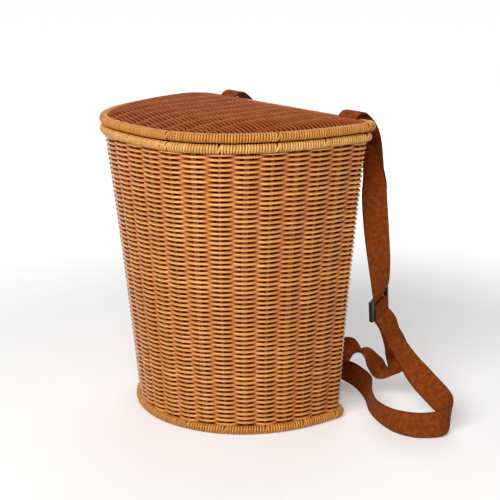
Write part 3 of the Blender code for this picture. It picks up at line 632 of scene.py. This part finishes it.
class Finish(Nodes):
    """A Principled material, the values that are the same all over it, and its nodes."""

    def __init__(self, name, roughness, specular=None, **values):
        self.material = bpy.data.materials.new(name)
        self.material.use_nodes = True
        super().__init__(self.material.node_tree)
        shader = self.tree.nodes["Principled BSDF"]
        self.inputs = shader.inputs
        shader.inputs["Roughness"].default_value = roughness
        if specular is not None:
            shader.inputs["Specular IOR Level"].default_value = specular
        for label, value in values.items():
            shader.inputs[label.replace("_", " ").title()].default_value = value

    def set(self, label, value):
        self.feed(self.inputs[label], value)

    def place(self):
        return self.add("ShaderNodeTexCoord").outputs["Object"]

    def attribute(self, name):
        return self.add("ShaderNodeAttribute", attribute_name=name).outputs["Fac"]

    def ramp(self, value, *stops):
        """Colours blended along a value."""
        node = self.add("ShaderNodeValToRGB", {"Fac": value})
        while len(node.color_ramp.elements) < len(stops):
            node.color_ramp.elements.new(0.5)
        for element, (place, color) in zip(node.color_ramp.elements, stops):
            element.position = place
            element.color = (*color, 1.0)
        return node.outputs["Color"]

    def blended(self, kind, share, first, second):
        node = self.add("ShaderNodeMix", data_type="RGBA", blend_type=kind)
        self.feed(node.inputs["Factor"], share)
        self.feed(node.inputs[6], first)
        self.feed(node.inputs[7], (*second, 1.0))
        return node.outputs[2]

    def bump(self, height, strength, distance):
        node = self.add("ShaderNodeBump", {"Height": height, "Strength": strength, "Distance": distance})
        self.set("Normal", node.outputs["Normal"])


def reed_finish(name, tones, roughness=0.42, coat=0.35, specular=0.15, variety=0.20, groove_turn=0.0,
                recess_shade=0.0, wear_and_highlight=0.3):
    """Stained and varnished reed: one tone for each length of reed, with fine grain along it, painted shade
    on its sides and where it lies behind, and a painted highlight on its outer face.
    """
    dark, middle, light = tones
    made = Finish(name, roughness, specular, coat_weight=coat, coat_roughness=0.11)
    along, around, strand = (made.attribute(label) for label in ("along", "around", "strand"))
    number, times, ranged = made.math, made.times, made.ranged
    piece = number("FLOOR", made.plus(number("DIVIDE", along, REED_LENGTH), times(strand, 37.0)))
    key = made.joined(X=piece, Y=number("FLOOR", times(strand, 997.0)))
    tone = made.add("ShaderNodeTexWhiteNoise", {"Vector": key}, noise_dimensions="2D").outputs["Value"]
    lengthwise, crosswise = times(along, GRAIN_ALONG), times(around, GRAIN_AROUND)
    grain = made.noise(made.joined(X=lengthwise, Y=crosswise, Z=times(strand, 61.0)), 1.0, 3.0)
    patch = made.noise(made.joined(X=times(along, PATCH_ALONG), Y=times(strand, 91.0)), 1.0, 1.0)
    mixed = made.times_plus(grain, 0.45, times(patch, 0.45))
    level = made.less(made.times_plus(tone, variety, mixed), variety / 2 - 0.05)
    color = made.ramp(level, (0.22, dark), (0.5, middle), (0.78, light))
    turn = times(made.plus(around, groove_turn), 2 * math.pi)
    # Painted shade: the sides of each reed's section, where it meets its neighbours, are darkened
    groove = ranged(made.size_of(number("SINE", turn)), 0.70, 1.0)
    crest = made.attribute("crest")
    # Painted shade: weavers lying behind a stake are darkened, and lose their coat there
    recess = ranged(crest, 0.35, -0.75)
    painted_shade = number("MAXIMUM", times(groove, GROOVE_SHADE), times(recess, recess_shade))
    color = made.blended("MULTIPLY", painted_shade, color, SHADE_TINT)
    made.set("Coat Weight", ranged(recess, 0.0, 1.0, coat, 0.0))
    # Painted highlight, with some wear: the outer face of each weaver in front is lightened towards the
    # light tone
    crown = ranged(made.size_of(number("COSINE", turn)), 0.55, 1.0)
    worn_and_highlit = times(crown, ranged(crest, -0.1, 0.7))
    made.set("Base Color", made.blended("MIX", times(worn_and_highlit, wear_and_highlight), color, light))
    made.set("Roughness", ranged(grain, 0.3, 0.7, roughness - 0.08, roughness + 0.12))
    made.bump(grain, 0.35, 0.0005)
    return made.material


def rod_finish():
    """Stained rod under the reed, seen between the weavers."""
    made = Finish("rod", 0.5)
    stretched = made.add("ShaderNodeMapping", {"Vector": made.place(), "Scale": ROD_GRAIN})
    grain = made.noise(stretched, 1.0, 3.0)
    made.set("Base Color", made.ramp(grain, *ROD_TONES))
    made.bump(grain, 0.3, 0.0004)
    return made.material


def webbing_finish():
    """Rust-brown webbing with fine ribs across it and a woven grain."""
    made = Finish("webbing", 0.80, 0.10, sheen_weight=0.03, sheen_roughness=0.4)
    made.set("Sheen Tint", (0.60, 0.25, 0.08, 1.0))
    place = made.add("ShaderNodeUVMap", uv_map="lay").outputs["UV"]
    parts = made.add("ShaderNodeSeparateXYZ", {0: place})
    across, along = parts.outputs["X"], parts.outputs["Y"]
    rib = made.math("SINE", made.times(along, 2 * math.pi / RIB_PITCH))
    yarn = made.math("SINE", made.times(across, 2 * math.pi / YARN_PITCH))
    weave = made.times_plus(yarn, 0.35, rib)
    noise = made.noise(place, 160.0, 3.0)
    level = made.times_plus(weave, 0.10, noise)
    edge = made.ranged(made.size_of(across), *WEBBING_SELVEDGE)
    color = made.ramp(level, *WEBBING_TONES)
    made.set("Base Color", made.blended("MULTIPLY", made.times(edge, 0.75), color, SELVEDGE_TINT))
    made.bump(made.times_plus(noise, 0.6, weave), 0.5, 0.0003)
    return made.material


def plastic_finish():
    """Black moulded plastic with a fine grain."""
    made = Finish("slider_plastic_finish", 0.34)
    grain = made.noise(made.place(), 1400.0, 2.0)
    made.set("Base Color", made.ramp(grain, (0.3, (0.007, 0.007, 0.008)), (0.7, (0.018, 0.018, 0.020))))
    made.set("Roughness", made.ranged(grain, 0.3, 0.7, 0.28, 0.42))
    made.bump(grain, 0.15, 0.0002)
    return made.material


def to_the_eye(nodes):
    """One for the camera and for what gloss and glass show of a surface, zero for its light."""
    path = nodes.add("ShaderNodeLightPath")
    seen = nodes.math("MAXIMUM", path.outputs["Is Camera Ray"], path.outputs["Is Glossy Ray"])
    return nodes.math("MAXIMUM", seen, path.outputs["Is Transmission Ray"])


def floor_finish():
    """A pale floor, lifted to white for the eye only, so that it keeps the soft shadow."""
    made = Finish("floor_finish", 0.9, 0.1)
    place = made.place()
    grain = made.noise(place, 30.0, 2.0)
    made.set("Base Color", made.ramp(grain, (0.2, (0.80, 0.80, 0.80)), (0.8, (0.82, 0.82, 0.82))))
    made.set("Emission Color", (1.0, 1.0, 1.0, 1.0))
    distance = made.add("ShaderNodeVectorMath", {0: place}, operation="LENGTH").outputs["Value"]
    lift = made.ranged(distance, *FLOOR_LIFT_REACH, *FLOOR_LIFT)
    made.set("Emission Strength", made.times(to_the_eye(made), lift))
    return made.material


# Woven pieces


def wave_shape(share):
    """How far a weaver stands to one side, from 1 at a stake to -1 at the next."""
    swing = math.cos(math.pi * share)
    return math.copysign(abs(swing) ** 0.8, swing)


def make_wall_weave(finish):
    """The wall in three bands, each a run of rows round the whole basket."""
    low_ring, high_ring = Ring(BASE_PLAN, WALL_INSET), Ring(TOP_PLAN, WALL_INSET)
    stakes = stake_places()
    points, tops, waves, outwards, slots = [], [], [], [], []
    for number, place in enumerate(stakes):
        following = stakes[number + 1] if number + 1 < len(stakes) else stakes[0] + RING_STEPS
        for step in range(SAMPLES_PER_SPAN):
            share = step / SAMPLES_PER_SPAN
            here = mix(place, following, share)
            low, high = low_ring.at(here), high_ring.at(here)
            points.append((low.x, low.y, 0.0))
            tops.append((high.x, high.y, 0.0))
            outwards.append((low_ring.outward(here) + high_ring.outward(here)).normalized())
            waves.append(wave_shape(share) * (1 - 2 * (number % 2)))
            away = min(abs(high.x - LOOP_RIGHT_X), abs(high.x - LOOP_LEFT_X))
            slots.append(1.0 if away < WALL_SLOT_HALF_WIDTH and high.y > -0.03 else 0.0)
    edges = [(index, (index + 1) % len(points)) for index in range(len(points))]
    pieces = []
    for name, first, last in WALL_BANDS:
        floats = {"wave": waves, "slot": slots}
        guide = guide_mesh(name, points, edges, floats, {"top_place": tops, "outward": outwards})
        piece = WALL_WEAVERS.apply(name, guide, {"First Row": first, "Last Row": last, "Finish": finish})
        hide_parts("wall_weave")
        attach(piece, "basket")
        pieces.append(piece)
    return pieces


def panel_lines(ring, rods, pitch, turned, slots=()):
    """The weavers' middle lines: they cross the rods, and end inside the rim."""
    outline = ring.outline(turned)
    lowest, highest = min(p.y for p in outline), max(p.y for p in outline)
    rows = int((highest - lowest) / pitch) + 1
    spare = (highest - lowest - (rows - 1) * pitch) / 2
    points, edges, waves, strands = [], [], [], []
    chance = random.Random(11)
    for row in range(rows):
        across = lowest + spare + row * pitch
        left, right = crossings(outline, across)
        if right - left < LEAST_WEAVER:
            continue
        spots, before = extended_rods(rods, left, right)
        strand = chance.random()
        first = len(points)
        for number, (rod, following) in enumerate(zip(spots, spots[1:])):
            shares = [step / SAMPLES_PER_SPAN for step in range(SAMPLES_PER_SPAN)]
            for end in (left, right):
                if rod < end < following:
                    shares.append((end - rod) / (following - rod))
            for share in sorted(shares):
                x = mix(rod, following, share)
                if not left <= x <= right:
                    continue
                sign = 1 - 2 * ((number - before + row) % 2)
                parted = across
                for slot_x, slot_y in slots:
                    if abs(x - slot_x) < LID_SLOT_HALF_WIDTH:
                        near_slot = max(0.0, 1 - abs(across - slot_y) / SLOT_REACH)
                        parted += math.copysign(SLOT_PARTING * near_slot, across - slot_y)
                spot = (parted, x) if turned else (x, parted)
                points.append((*spot, panel_height(ring, spot)))
                fade = min(1.0, (x - left) / PANEL_END_FADE, (right - x) / PANEL_END_FADE)
                waves.append(wave_shape(share) * sign * fade)
                strands.append(strand)
        edges += [(index, index + 1) for index in range(first, len(points) - 1)]
    return points, edges, waves, strands


def rise(share):
    return 1 - (1 - min(max(share, 0.0), 1.0)) ** 2


def panel_height(ring, place):
    """The middle of a panel's thickness: the base is flat, and the lid is crowned inside its rim."""
    if ring.plan is not LID_PLAN:
        return BASE_MIDDLE_Z
    shares = []
    for point in ring.front_points:
        shares.append(math.hypot(
            (place[0] - point.x) / LID_CROWN_SIDE_EDGE,
            (place[1] - point.y) / LID_CROWN_FRONT_EDGE,
        ))
    from_back = ring.plan.back - ring.inset - place[1]
    crown = rise(min(shares)) * rise(from_back / LID_CROWN_BACK_EDGE)
    return LID_RIM_Z + LID_EDGE_LIFT + LID_CROWN * crown


def extended_rods(rods, left, right):
    """The rods' places, with more up to the rim for the rhythm, and how many of those come first."""
    spacing = (rods[-1] - rods[0]) / (len(rods) - 1)
    spots = list(rods)
    before = 0
    while spots[0] > left:
        spots.insert(0, spots[0] - spacing)
        before += 1
    while spots[-1] < right:
        spots.append(spots[-1] + spacing)
    return spots, before


def make_lid_weave(finish):
    ring = Ring(LID_PLAN, RIM_RADIUS - 0.001)
    rods = [share * LID_PLAN.width / 2 for share in LID_MIDDLE_SHARES]
    for loop_x in (LOOP_RIGHT_X, LOOP_LEFT_X):
        rods += [loop_x - LOOP_STAKE_ROOM, loop_x + LOOP_STAKE_ROOM]
    rods.sort()
    slot_y = LID_PLAN.back - LOOP_RADIUS
    slots = ((LOOP_RIGHT_X, slot_y), (LOOP_LEFT_X, slot_y))
    edge = Ring(LID_PLAN, RIM_RADIUS - PANEL_TUCK)
    points, edges, waves, strands = panel_lines(edge, rods, PANEL_PITCH, False, slots)
    guide = guide_mesh("lid_panel_weave", points, edges, {"wave": waves, "strand": strands})
    piece = PANEL_WEAVERS.apply("lid_panel_weave", guide, {"Finish": finish})
    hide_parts("lid_weave")
    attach(piece, "lid")
    return ring, rods


def make_lid_rods(ring, rods, finish):
    """The lid's stakes, bent to its crown, from the front rim to the back rim."""
    outline = ring.outline(turned=True)
    points, edges = [], []
    for x in rods:
        front, back = crossings(outline, x)
        first = len(points)
        for step in range(LID_ROD_STEPS + 1):
            y = mix(front, back, step / LID_ROD_STEPS)
            points.append((x, y, panel_height(ring, (x, y))))
        edges += [(index, index + 1) for index in range(first, len(points) - 1)]
    guide = guide_mesh("lid_rods", points, edges)
    piece = LOOSE_REEDS.apply("lid_rods", guide, {"Finish": finish, "Radius": STAKE_RADIUS})
    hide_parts(*(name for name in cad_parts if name.startswith("lid_stake")))
    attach(piece, "lid")


def make_base_weave(finish):
    ring = Ring(BASE_PLAN, RIM_RADIUS - 0.001)
    rods = [-share * BASE_PLAN.depth for share in reversed(BASE_STICK_SHARES)]
    points, edges, waves, strands = panel_lines(ring, rods, PANEL_PITCH, True)
    guide = guide_mesh("base_panel_weave", points, edges, {"wave": waves, "strand": strands})
    values = {"Finish": finish, "Swing": 0.0023, "Half Depth": 0.0012}
    piece = PANEL_WEAVERS.apply("base_panel_weave", guide, values)
    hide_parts("base_weave")
    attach(piece, "basket")


def make_wrap(name, node, body, plan, z, splits, finish, seed):
    """Reed wound round a rim; at each split one turn crosses slantwise with room on both sides."""
    ring = Ring(plan, 0.0)
    points, runs, leans, swells = [], [], [], []
    for place in ring.even_places(WRAP_PITCH):
        here = ring.at(place)
        run = ring.along(place)
        points.append((here.x, here.y, z))
        runs.append((run.x, run.y, 0.0))
        crossing = min(abs(place - split) for split in splits) < SPLIT_REACH
        leans.append(WRAP_SLANT + SPLIT_SLANT * crossing)
        swells.append(SPLIT_SWELL if crossing else 1.0)
    guide = guide_mesh(name, points, [], {"lean": leans, "swell": swells}, {"run": runs})
    piece = WRAP.apply(name, guide, {"Finish": finish, "Seed": seed})
    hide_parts(node)
    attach(piece, body)


# Straps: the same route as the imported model's


UPPER_SHARES = (
    (0.02, 0.362, 0.912, FLAT),
    (0.05, 0.477, 0.891, FLAT),
    (0.10, 0.537, 0.860, FLAT),
    (0.15, 0.577, 0.825, (0.99, 0.10, 0.05)),
    (0.22, 0.597, 0.785, (0.95, 0.30, 0.06)),
    (0.37, 0.588, 0.716, (0.76, 0.64, 0.07)),
    (0.61, 0.601, 0.614, (0.52, 0.85, 0.10)),
    (0.89, 0.617, 0.515, (0.27, 0.96, 0.04)),
    (1.12, 0.608, 0.438, (-0.03, 0.99, 0.03)),
)
TAIL_SHARES = (
    (0.09, 0.592, 0.882, FLAT),
    (0.06, 0.565, 0.921, FLAT),
    (0.03, 0.515, 0.955, FLAT),
    (0.00, 0.420, 0.988, FLAT),
)
RETURN_SHARES = (
    (0.544, 0.800, 0.289, (-0.29, 0.92, 0.28)),
    (0.562, 0.903, 0.241, (0.00, 0.90, 0.43)),
    (0.566, 1.005, 0.189, (0.45, 0.83, 0.30)),
    (0.551, 1.065, 0.141, (0.91, 0.31, -0.27)),
    (0.537, 0.979, 0.104, (0.83, -0.56, 0.03)),
    (0.502, 0.821, 0.118, (0.39, -0.64, -0.66)),
    (0.493, 0.612, 0.166, (0.59, -0.60, -0.55)),
    (0.469, 0.476, 0.187, (0.81, -0.39, 0.43)),
    (0.431, 0.345, 0.196, (-0.25, 0.40, 0.88)),
    (0.364, 0.214, 0.191, (-0.33, 0.40, 0.85)),
)
LYING_SHARES = (
    (0.189, 0.290, 0.179, (-0.05, 0.35, 0.93)),
    (0.166, 0.531, 0.153, (0.00, 0.62, 0.78)),
    (0.158, 0.725, 0.105, (0.05, 0.55, 0.83)),
    (0.181, 0.882, 0.063, (0.03, 0.25, 0.97)),
    (0.234, 0.930, 0.046, UPRIGHT),
    (0.319, 0.907, 0.044, (0.03, 0.13, 0.99)),
    (0.463, 0.717, 0.044, (0.15, 0.22, 0.96)),
    (0.592, 0.374, 0.044, (0.05, 0.05, 1.00)),
    (0.707, 0.157, 0.044, (-0.05, -0.13, 0.99)),
    (0.814, 0.081, 0.044, (0.00, -0.12, 0.99)),
    (0.894, 0.135, 0.044, UPRIGHT),
    (0.957, 0.278, 0.044, (-0.09, 0.07, 0.99)),
    (1.003, 0.540, 0.048, (-0.23, -0.05, 0.97)),
)
RISE_SHARES = (
    (0.973, 0.842, 0.060, (0.28, -0.13, 0.95)),
    (0.877, 0.911, 0.087, (0.35, 0.55, 0.76)),
    (0.768, 0.906, 0.129, (0.34, 0.78, 0.53)),
    (0.668, 0.913, 0.178, (0.08, 0.99, 0.11)),
    (0.590, 0.872, 0.238, (-0.15, 0.98, 0.15)),
    (0.564, 0.801, 0.294, (-0.12, 0.94, 0.31)),
)
BAR_STEP = (SLIDER_LENGTH - 2 * SLIDER_BAR_RADIUS) / 2
BAR_BEND = SLIDER_BAR_RADIUS + CLEARANCE + WEBBING_THICKNESS / 2


def circled(radius, degrees):
    """The two sides of a point on a circle."""
    turn = math.radians(degrees)
    return radius * math.cos(turn), radius * math.sin(turn)


def wall_back(z):
    """The middle of the back wall's thickness at height z."""
    return (z - BASE_RIM_Z) / (BODY_RIM_Z - BASE_RIM_Z) * BACK_LEAN - WALL_INSET


def slider_axes():
    across = Vector(SLIDER_ACROSS).normalized()
    along = Vector(SLIDER_ALONG)
    along = (along - across * along.dot(across)).normalized()
    return across, along, along.cross(across)


def slider_point(along, outwards):
    _, down, out = slider_axes()
    return Vector(SLIDER_PLACE) + down * along + out * outwards


def running_depth(along):
    if abs(along) >= BAR_STEP:
        return 0.0
    return -(BAR_BEND + LAYER) * (1 + math.cos(math.pi * along / BAR_STEP)) / 2


def slider_pass():
    """The running webbing through the slider, from above to below."""
    across = slider_axes()[0]
    steps = [mix(-SLIDER_LENGTH / 2, SLIDER_LENGTH / 2, step / 20) for step in range(21)]
    return [(slider_point(along, running_depth(along)), across) for along in steps]


def beside(line, distance):
    """Webbing laid flat against the line, on the side that across x travel points to."""
    found = []
    for index, (place, across) in enumerate(line):
        travel = line[min(index + 1, len(line) - 1)][0] - line[max(index - 1, 0)][0]
        found.append((place + across.cross(travel).normalized() * distance, across))
    return found


def sewn_end(lying):
    """The end of the webbing: round the centre bar and back down, sewn behind what rises to it."""
    across = slider_axes()[0]
    path = [(slider_point(SLIDER_LENGTH / 4, BAR_BEND / 2 + LAYER), across)]
    for degrees in range(90, 271, 15):
        path.append((slider_point(*circled(BAR_BEND, degrees)), across))
    for step in range(1, 5):
        along = SLIDER_LENGTH / 2 * step / 4
        path.append((slider_point(along, running_depth(along) + LAYER), across))
    beyond = beside(lying, -LAYER)[::-1]
    for near, far in zip(beyond, beyond[1:]):
        path.append(far)
        if (far[0] - path[0][0]).length > SEWN_TAIL:
            break
    return path


def route_point(reach_share, back_share, height_share, across):
    place = (reach_share * STRAP_REACH, back_share * STRAP_BACK, height_share * BASKET_HEIGHT)
    return Vector(place), Vector(across).normalized()


def smooth(controls):
    """Points at even steps on a Catmull-Rom curve through the controls, with their cross directions."""
    found = []
    extended = [controls[0], *controls, controls[-1]]
    for before, near, far, after in zip(extended, extended[1:], extended[2:], extended[3:]):
        count = max(1, round((far[0] - near[0]).length / ROUTE_STEP))
        for step in range(count):
            t = step / count
            blend = []
            for part in (0, 1):
                a, b, c, d = before[part], near[part], far[part], after[part]
                square, cube = 2 * a - 5 * b + 4 * c - d, 3 * b - a - 3 * c + d
                blend.append(b + ((c - a) * t + square * t * t + cube * t ** 3) / 2)
            found.append((blend[0], blend[1].normalized()))
    found.append(controls[-1])
    return found


def lid_arc(loop_x, degrees):
    back, up = circled(LOOP_RADIUS, degrees)
    return Vector((loop_x, LID_PLAN.back + back, LID_RIM_Z + up))


def hanging_point(loop_x, share, back_share, height_share, across):
    x = mix(loop_x, slider_point(-SLIDER_LENGTH / 2, 0.0).x, share)
    return Vector((x, back_share * STRAP_BACK, height_share * BASKET_HEIGHT)), Vector(across).normalized()


def hinge_loop(loop_x, hanging):
    """From the seam up, over the lid's back rim, down through the lid, and out through the wall."""
    across = Vector(FLAT)
    seam_top = LID_RIM_Z - SEWN_DROP
    laid = beside(hanging, LAYER)
    sewn = [item for item in laid if seam_top - SEWN_LENGTH <= item[0].z <= seam_top][::-1]
    rising = [hanging_point(loop_x, *row) for row in TAIL_SHARES]
    path = sewn[:-1] + smooth([sewn[-1], *rising, (lid_arc(loop_x, LOOP_LEAVES_AT), across)])[:-1]
    for degrees in range(LOOP_LEAVES_AT, 181, 10):
        path.append((lid_arc(loop_x, degrees), across))
    bend_y, bend_z = LID_PLAN.back - LOOP_RADIUS + LOOP_BEND, LOOP_SLOT_Z + LOOP_BEND
    for degrees in range(180, 271, 15):
        back, up = circled(LOOP_BEND, degrees)
        path.append((Vector((loop_x, bend_y + back, bend_z + up)), across))
    path.append((Vector((loop_x, wall_back(LOOP_SLOT_Z), LOOP_SLOT_Z)), across))
    return path


def lower_anchor():
    """In through the outer slit, past the inside of one stake, and out through the inner slit."""
    across = Vector((0.0, BACK_LEAN, BODY_RIM_Z - BASE_RIM_Z)).normalized()
    middle = wall_back(ANCHOR_HEIGHT)
    face = middle + WALL_THICKNESS / 2 + ANCHOR_STUB
    turn_y = middle - WALL_THICKNESS / 2 - SLOT_ROOM - WEBBING_THICKNESS / 2 + ANCHOR_BEND
    path = [Vector((ANCHOR_OUTER_X, face, ANCHOR_HEIGHT)), Vector((ANCHOR_OUTER_X, turn_y, ANCHOR_HEIGHT))]
    bends = ((ANCHOR_OUTER_X - ANCHOR_BEND, 345, 269), (ANCHOR_INNER_X + ANCHOR_BEND, 270, 194))
    for bend_x, first, last in bends:
        for degrees in range(first, last, -15):
            side, back = circled(ANCHOR_BEND, degrees)
            path.append(Vector((bend_x + side, turn_y + back, ANCHOR_HEIGHT)))
    path += [Vector((ANCHOR_INNER_X, turn_y, ANCHOR_HEIGHT)), Vector((ANCHOR_INNER_X, face, ANCHOR_HEIGHT))]
    return [(point, across) for point in path]


def strap_routes(loop_x):
    """The strap above the slider's middle and below it, as middle lines with cross directions."""
    slider = slider_pass()
    outside = (Vector((loop_x, wall_back(LOOP_SLOT_Z) + 2 * WALL_THICKNESS, LOOP_SLOT_Z)), Vector(FLAT))
    upper = [hanging_point(loop_x, *row) for row in UPPER_SHARES]
    hanging = smooth([outside, *upper, slider[0]])
    anchor = lower_anchor()
    returning = smooth([slider[-1], *(route_point(*row) for row in RETURN_SHARES), anchor[0]])
    seat = (slider_point(SLIDER_LENGTH / 2, 2 * LAYER), slider_axes()[0])
    low = [route_point(*row) for row in LYING_SHARES + RISE_SHARES]
    lying = smooth([anchor[-1], *low, seat])
    half = len(slider) // 2
    above = hinge_loop(loop_x, hanging) + hanging[:-1] + slider[: half + 1]
    below = slider[half:-1] + returning[:-1] + anchor[:-1] + lying + sewn_end(lying)
    return above, below


RIBBON_STEPS = 8


def ribbon_section(place, across, out):
    """The points round the webbing's section, its two edges rounded."""
    half, thick = WEBBING_WIDTH / 2, WEBBING_THICKNESS / 2
    face = []
    for step in range(RIBBON_STEPS + 1):
        share = 2 * step / RIBBON_STEPS - 1
        edge = math.copysign(1 - (1 - abs(share)) ** 1.6, share)
        depth = thick * (1.0 if abs(edge) < 0.98 else 0.45)
        face.append((edge * half, depth))
    points = [(place + across * wide + out * deep, wide) for wide, deep in face]
    return points + [(place + across * wide - out * deep, wide) for wide, deep in reversed(face)]


def ribbon(name, route, sign, finish):
    """Webbing along a route, with its own map: metres across and metres along."""
    shape = bmesh.new()
    lay = shape.loops.layers.uv.new("lay")
    sections = []
    length = 0.0
    for index, (place, across) in enumerate(route):
        near, far = route[max(index - 1, 0)][0], route[min(index + 1, len(route) - 1)][0]
        travel = (far - near).normalized()
        flat = (across - travel * across.dot(travel)).normalized()
        if index:
            length += (place - route[index - 1][0]).length
        row = []
        for point, wide in ribbon_section(place, flat, flat.cross(travel)):
            row.append((shape.verts.new((sign * point.x, point.y, point.z)), (wide, length)))
        sections.append(row)
    outlines = []
    for near, far in zip(sections, sections[1:]):
        for index in range(len(near)):
            following = (index + 1) % len(near)
            outlines.append((near[index], near[following], far[following], far[index]))
    for corners in outlines + [sections[0], sections[-1]]:
        face = shape.faces.new([vertex for vertex, _ in corners])
        for loop, (_, spot) in zip(face.loops, corners):
            loop[lay].uv = spot
    shape.normal_update()
    bmesh.ops.recalc_face_normals(shape, faces=shape.faces)
    mesh = bpy.data.meshes.new(name)
    shape.to_mesh(mesh)
    shape.free()
    mesh.materials.append(finish)
    mesh.shade_smooth()
    mesh.set_sharp_from_angle(angle=math.radians(50))
    return new_object(name, mesh), length


def make_strap(side, loop_x, finish):
    sign = math.copysign(1, loop_x)
    above, below = strap_routes(abs(loop_x))
    for part, route in (("upper", above), ("lower", below)):
        piece, length = ribbon(f"webbing_{side}_{part}", route, sign, finish)
        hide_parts(f"strap_{side}")
        if part == "upper":
            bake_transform(piece)
        else:
            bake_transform(piece)


# Studio

CAMERA_PLACE = (1.14084, -0.97353, 0.60344)
CAMERA_BACK = (0.74616, -0.60995, 0.26684)
CAMERA_TURN = 50.7378
LENS = 1169.87 / 500 * 36
SKY_LEVEL = 0.13
FLOOR_LIFT = (0.20, 0.85)
FLOOR_LIFT_REACH = (0.45, 1.60)
FLOOR_REACH = 40.0
AIM = (0.0, -0.1, 0.2)
LAMPS = (
    ("broad", (0.87, -1.63, 1.48), AIM, (1.9, 0.60), 50.0),
    ("strip", (1.60, -0.35, 1.00), AIM, (0.20, 0.95), 1.8),
    ("rear", (-1.18, 1.41, 1.30), AIM, (1.9, 1.4), 20.0),
    ("top", (-0.2, 0.0, 2.1), (0.0, -0.1, 0.3), (1.4, 1.4), 2.0),
)


def make_camera():
    camera = new_object("camera", bpy.data.cameras.new("camera"))
    back = Vector(CAMERA_BACK).normalized()
    turn = math.radians(CAMERA_TURN)
    right = Vector((math.cos(turn), math.sin(turn), 0.0))
    camera.location = CAMERA_PLACE
    camera.rotation_mode = "QUATERNION"
    camera.rotation_quaternion = Matrix((right, back.cross(right), back)).transposed().to_quaternion()
    camera.data.sensor_width = 36.0
    camera.data.lens = LENS
    camera.data.clip_start = 0.05
    bpy.context.scene.camera = camera


def softbox(name, place, target, size, power):
    lamp = bpy.data.lights.new(name, "AREA")
    lamp.shape = "RECTANGLE"
    lamp.size, lamp.size_y = size
    lamp.energy = power
    holder = new_object(name, lamp)
    holder.location = place
    holder.rotation_mode = "QUATERNION"
    holder.rotation_quaternion = (Vector(target) - Vector(place)).to_track_quat("-Z", "Y")


def make_studio():
    shape = bmesh.new()
    bmesh.ops.create_grid(shape, x_segments=8, y_segments=8, size=FLOOR_REACH)
    mesh = bpy.data.meshes.new("floor")
    shape.to_mesh(mesh)
    shape.free()
    mesh.materials.append(floor_finish())
    new_object("floor", mesh)
    world = bpy.data.worlds.new("studio")
    world.use_nodes = True
    bpy.context.scene.world = world
    nodes = Nodes(world.node_tree)
    background = world.node_tree.nodes["Background"]
    background.inputs["Color"].default_value = (1.0, 1.0, 1.0, 1.0)
    nodes.feed(background.inputs["Strength"], nodes.ranged(to_the_eye(nodes), 0.0, 1.0, SKY_LEVEL, 1.0))
    for lamp in LAMPS:
        softbox(*lamp)
    bpy.context.scene.view_settings.view_transform = "Standard"


WALL_WEAVERS = wall_weaver_tree()
PANEL_WEAVERS = panel_weaver_tree()
WRAP = wrap_tree()
LOOSE_REEDS = loose_reed_tree()

reed_wall = reed_finish(
    "reed_wall_finish", WALL_TONES, coat=1.0, specular=0.06, recess_shade=0.95, wear_and_highlight=0.75,
)
reed_lid = reed_finish(
    "reed_lid_finish", LID_TONES, roughness=0.60, coat=0.06, specular=0.06, variety=0.20, wear_and_highlight=0.5,
    groove_turn=0.25, recess_shade=0.85,
)
reed_rim = reed_finish("reed_rim_finish", RIM_TONES, roughness=0.40, variety=0.14)
reed_body_rim = reed_finish("reed_body_rim_finish", BODY_RIM_TONES, roughness=0.40, coat=0.5, variety=0.14)
rod = rod_finish()
webbing = webbing_finish()
plastic = plastic_finish()

make_camera()
make_wall_weave(reed_wall)
make_lid_rods(*make_lid_weave(reed_lid), rod)
make_base_weave(reed_wall)
SINGLE_STAKES = stake_places()[0::2]
make_wrap("body_rim_wrap", "rim_binding", "basket", TOP_PLAN, BODY_RIM_Z, SINGLE_STAKES, reed_body_rim, 21)
make_wrap("lid_rim_wrap", "lid_binding", "lid", LID_PLAN, LID_RIM_Z, SINGLE_STAKES[::2], reed_rim, 22)
make_wrap("base_rim_wrap", "base_binding", "basket", BASE_PLAN, BASE_RIM_Z, SINGLE_STAKES, reed_rim, 23)
make_strap("right", LOOP_RIGHT_X, webbing)
make_strap("left", LOOP_LEFT_X, webbing)
for name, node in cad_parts.items():
    finish = plastic if name.startswith("slider") else rod
    node.data.materials.clear()
    node.data.materials.append(finish)
make_studio()
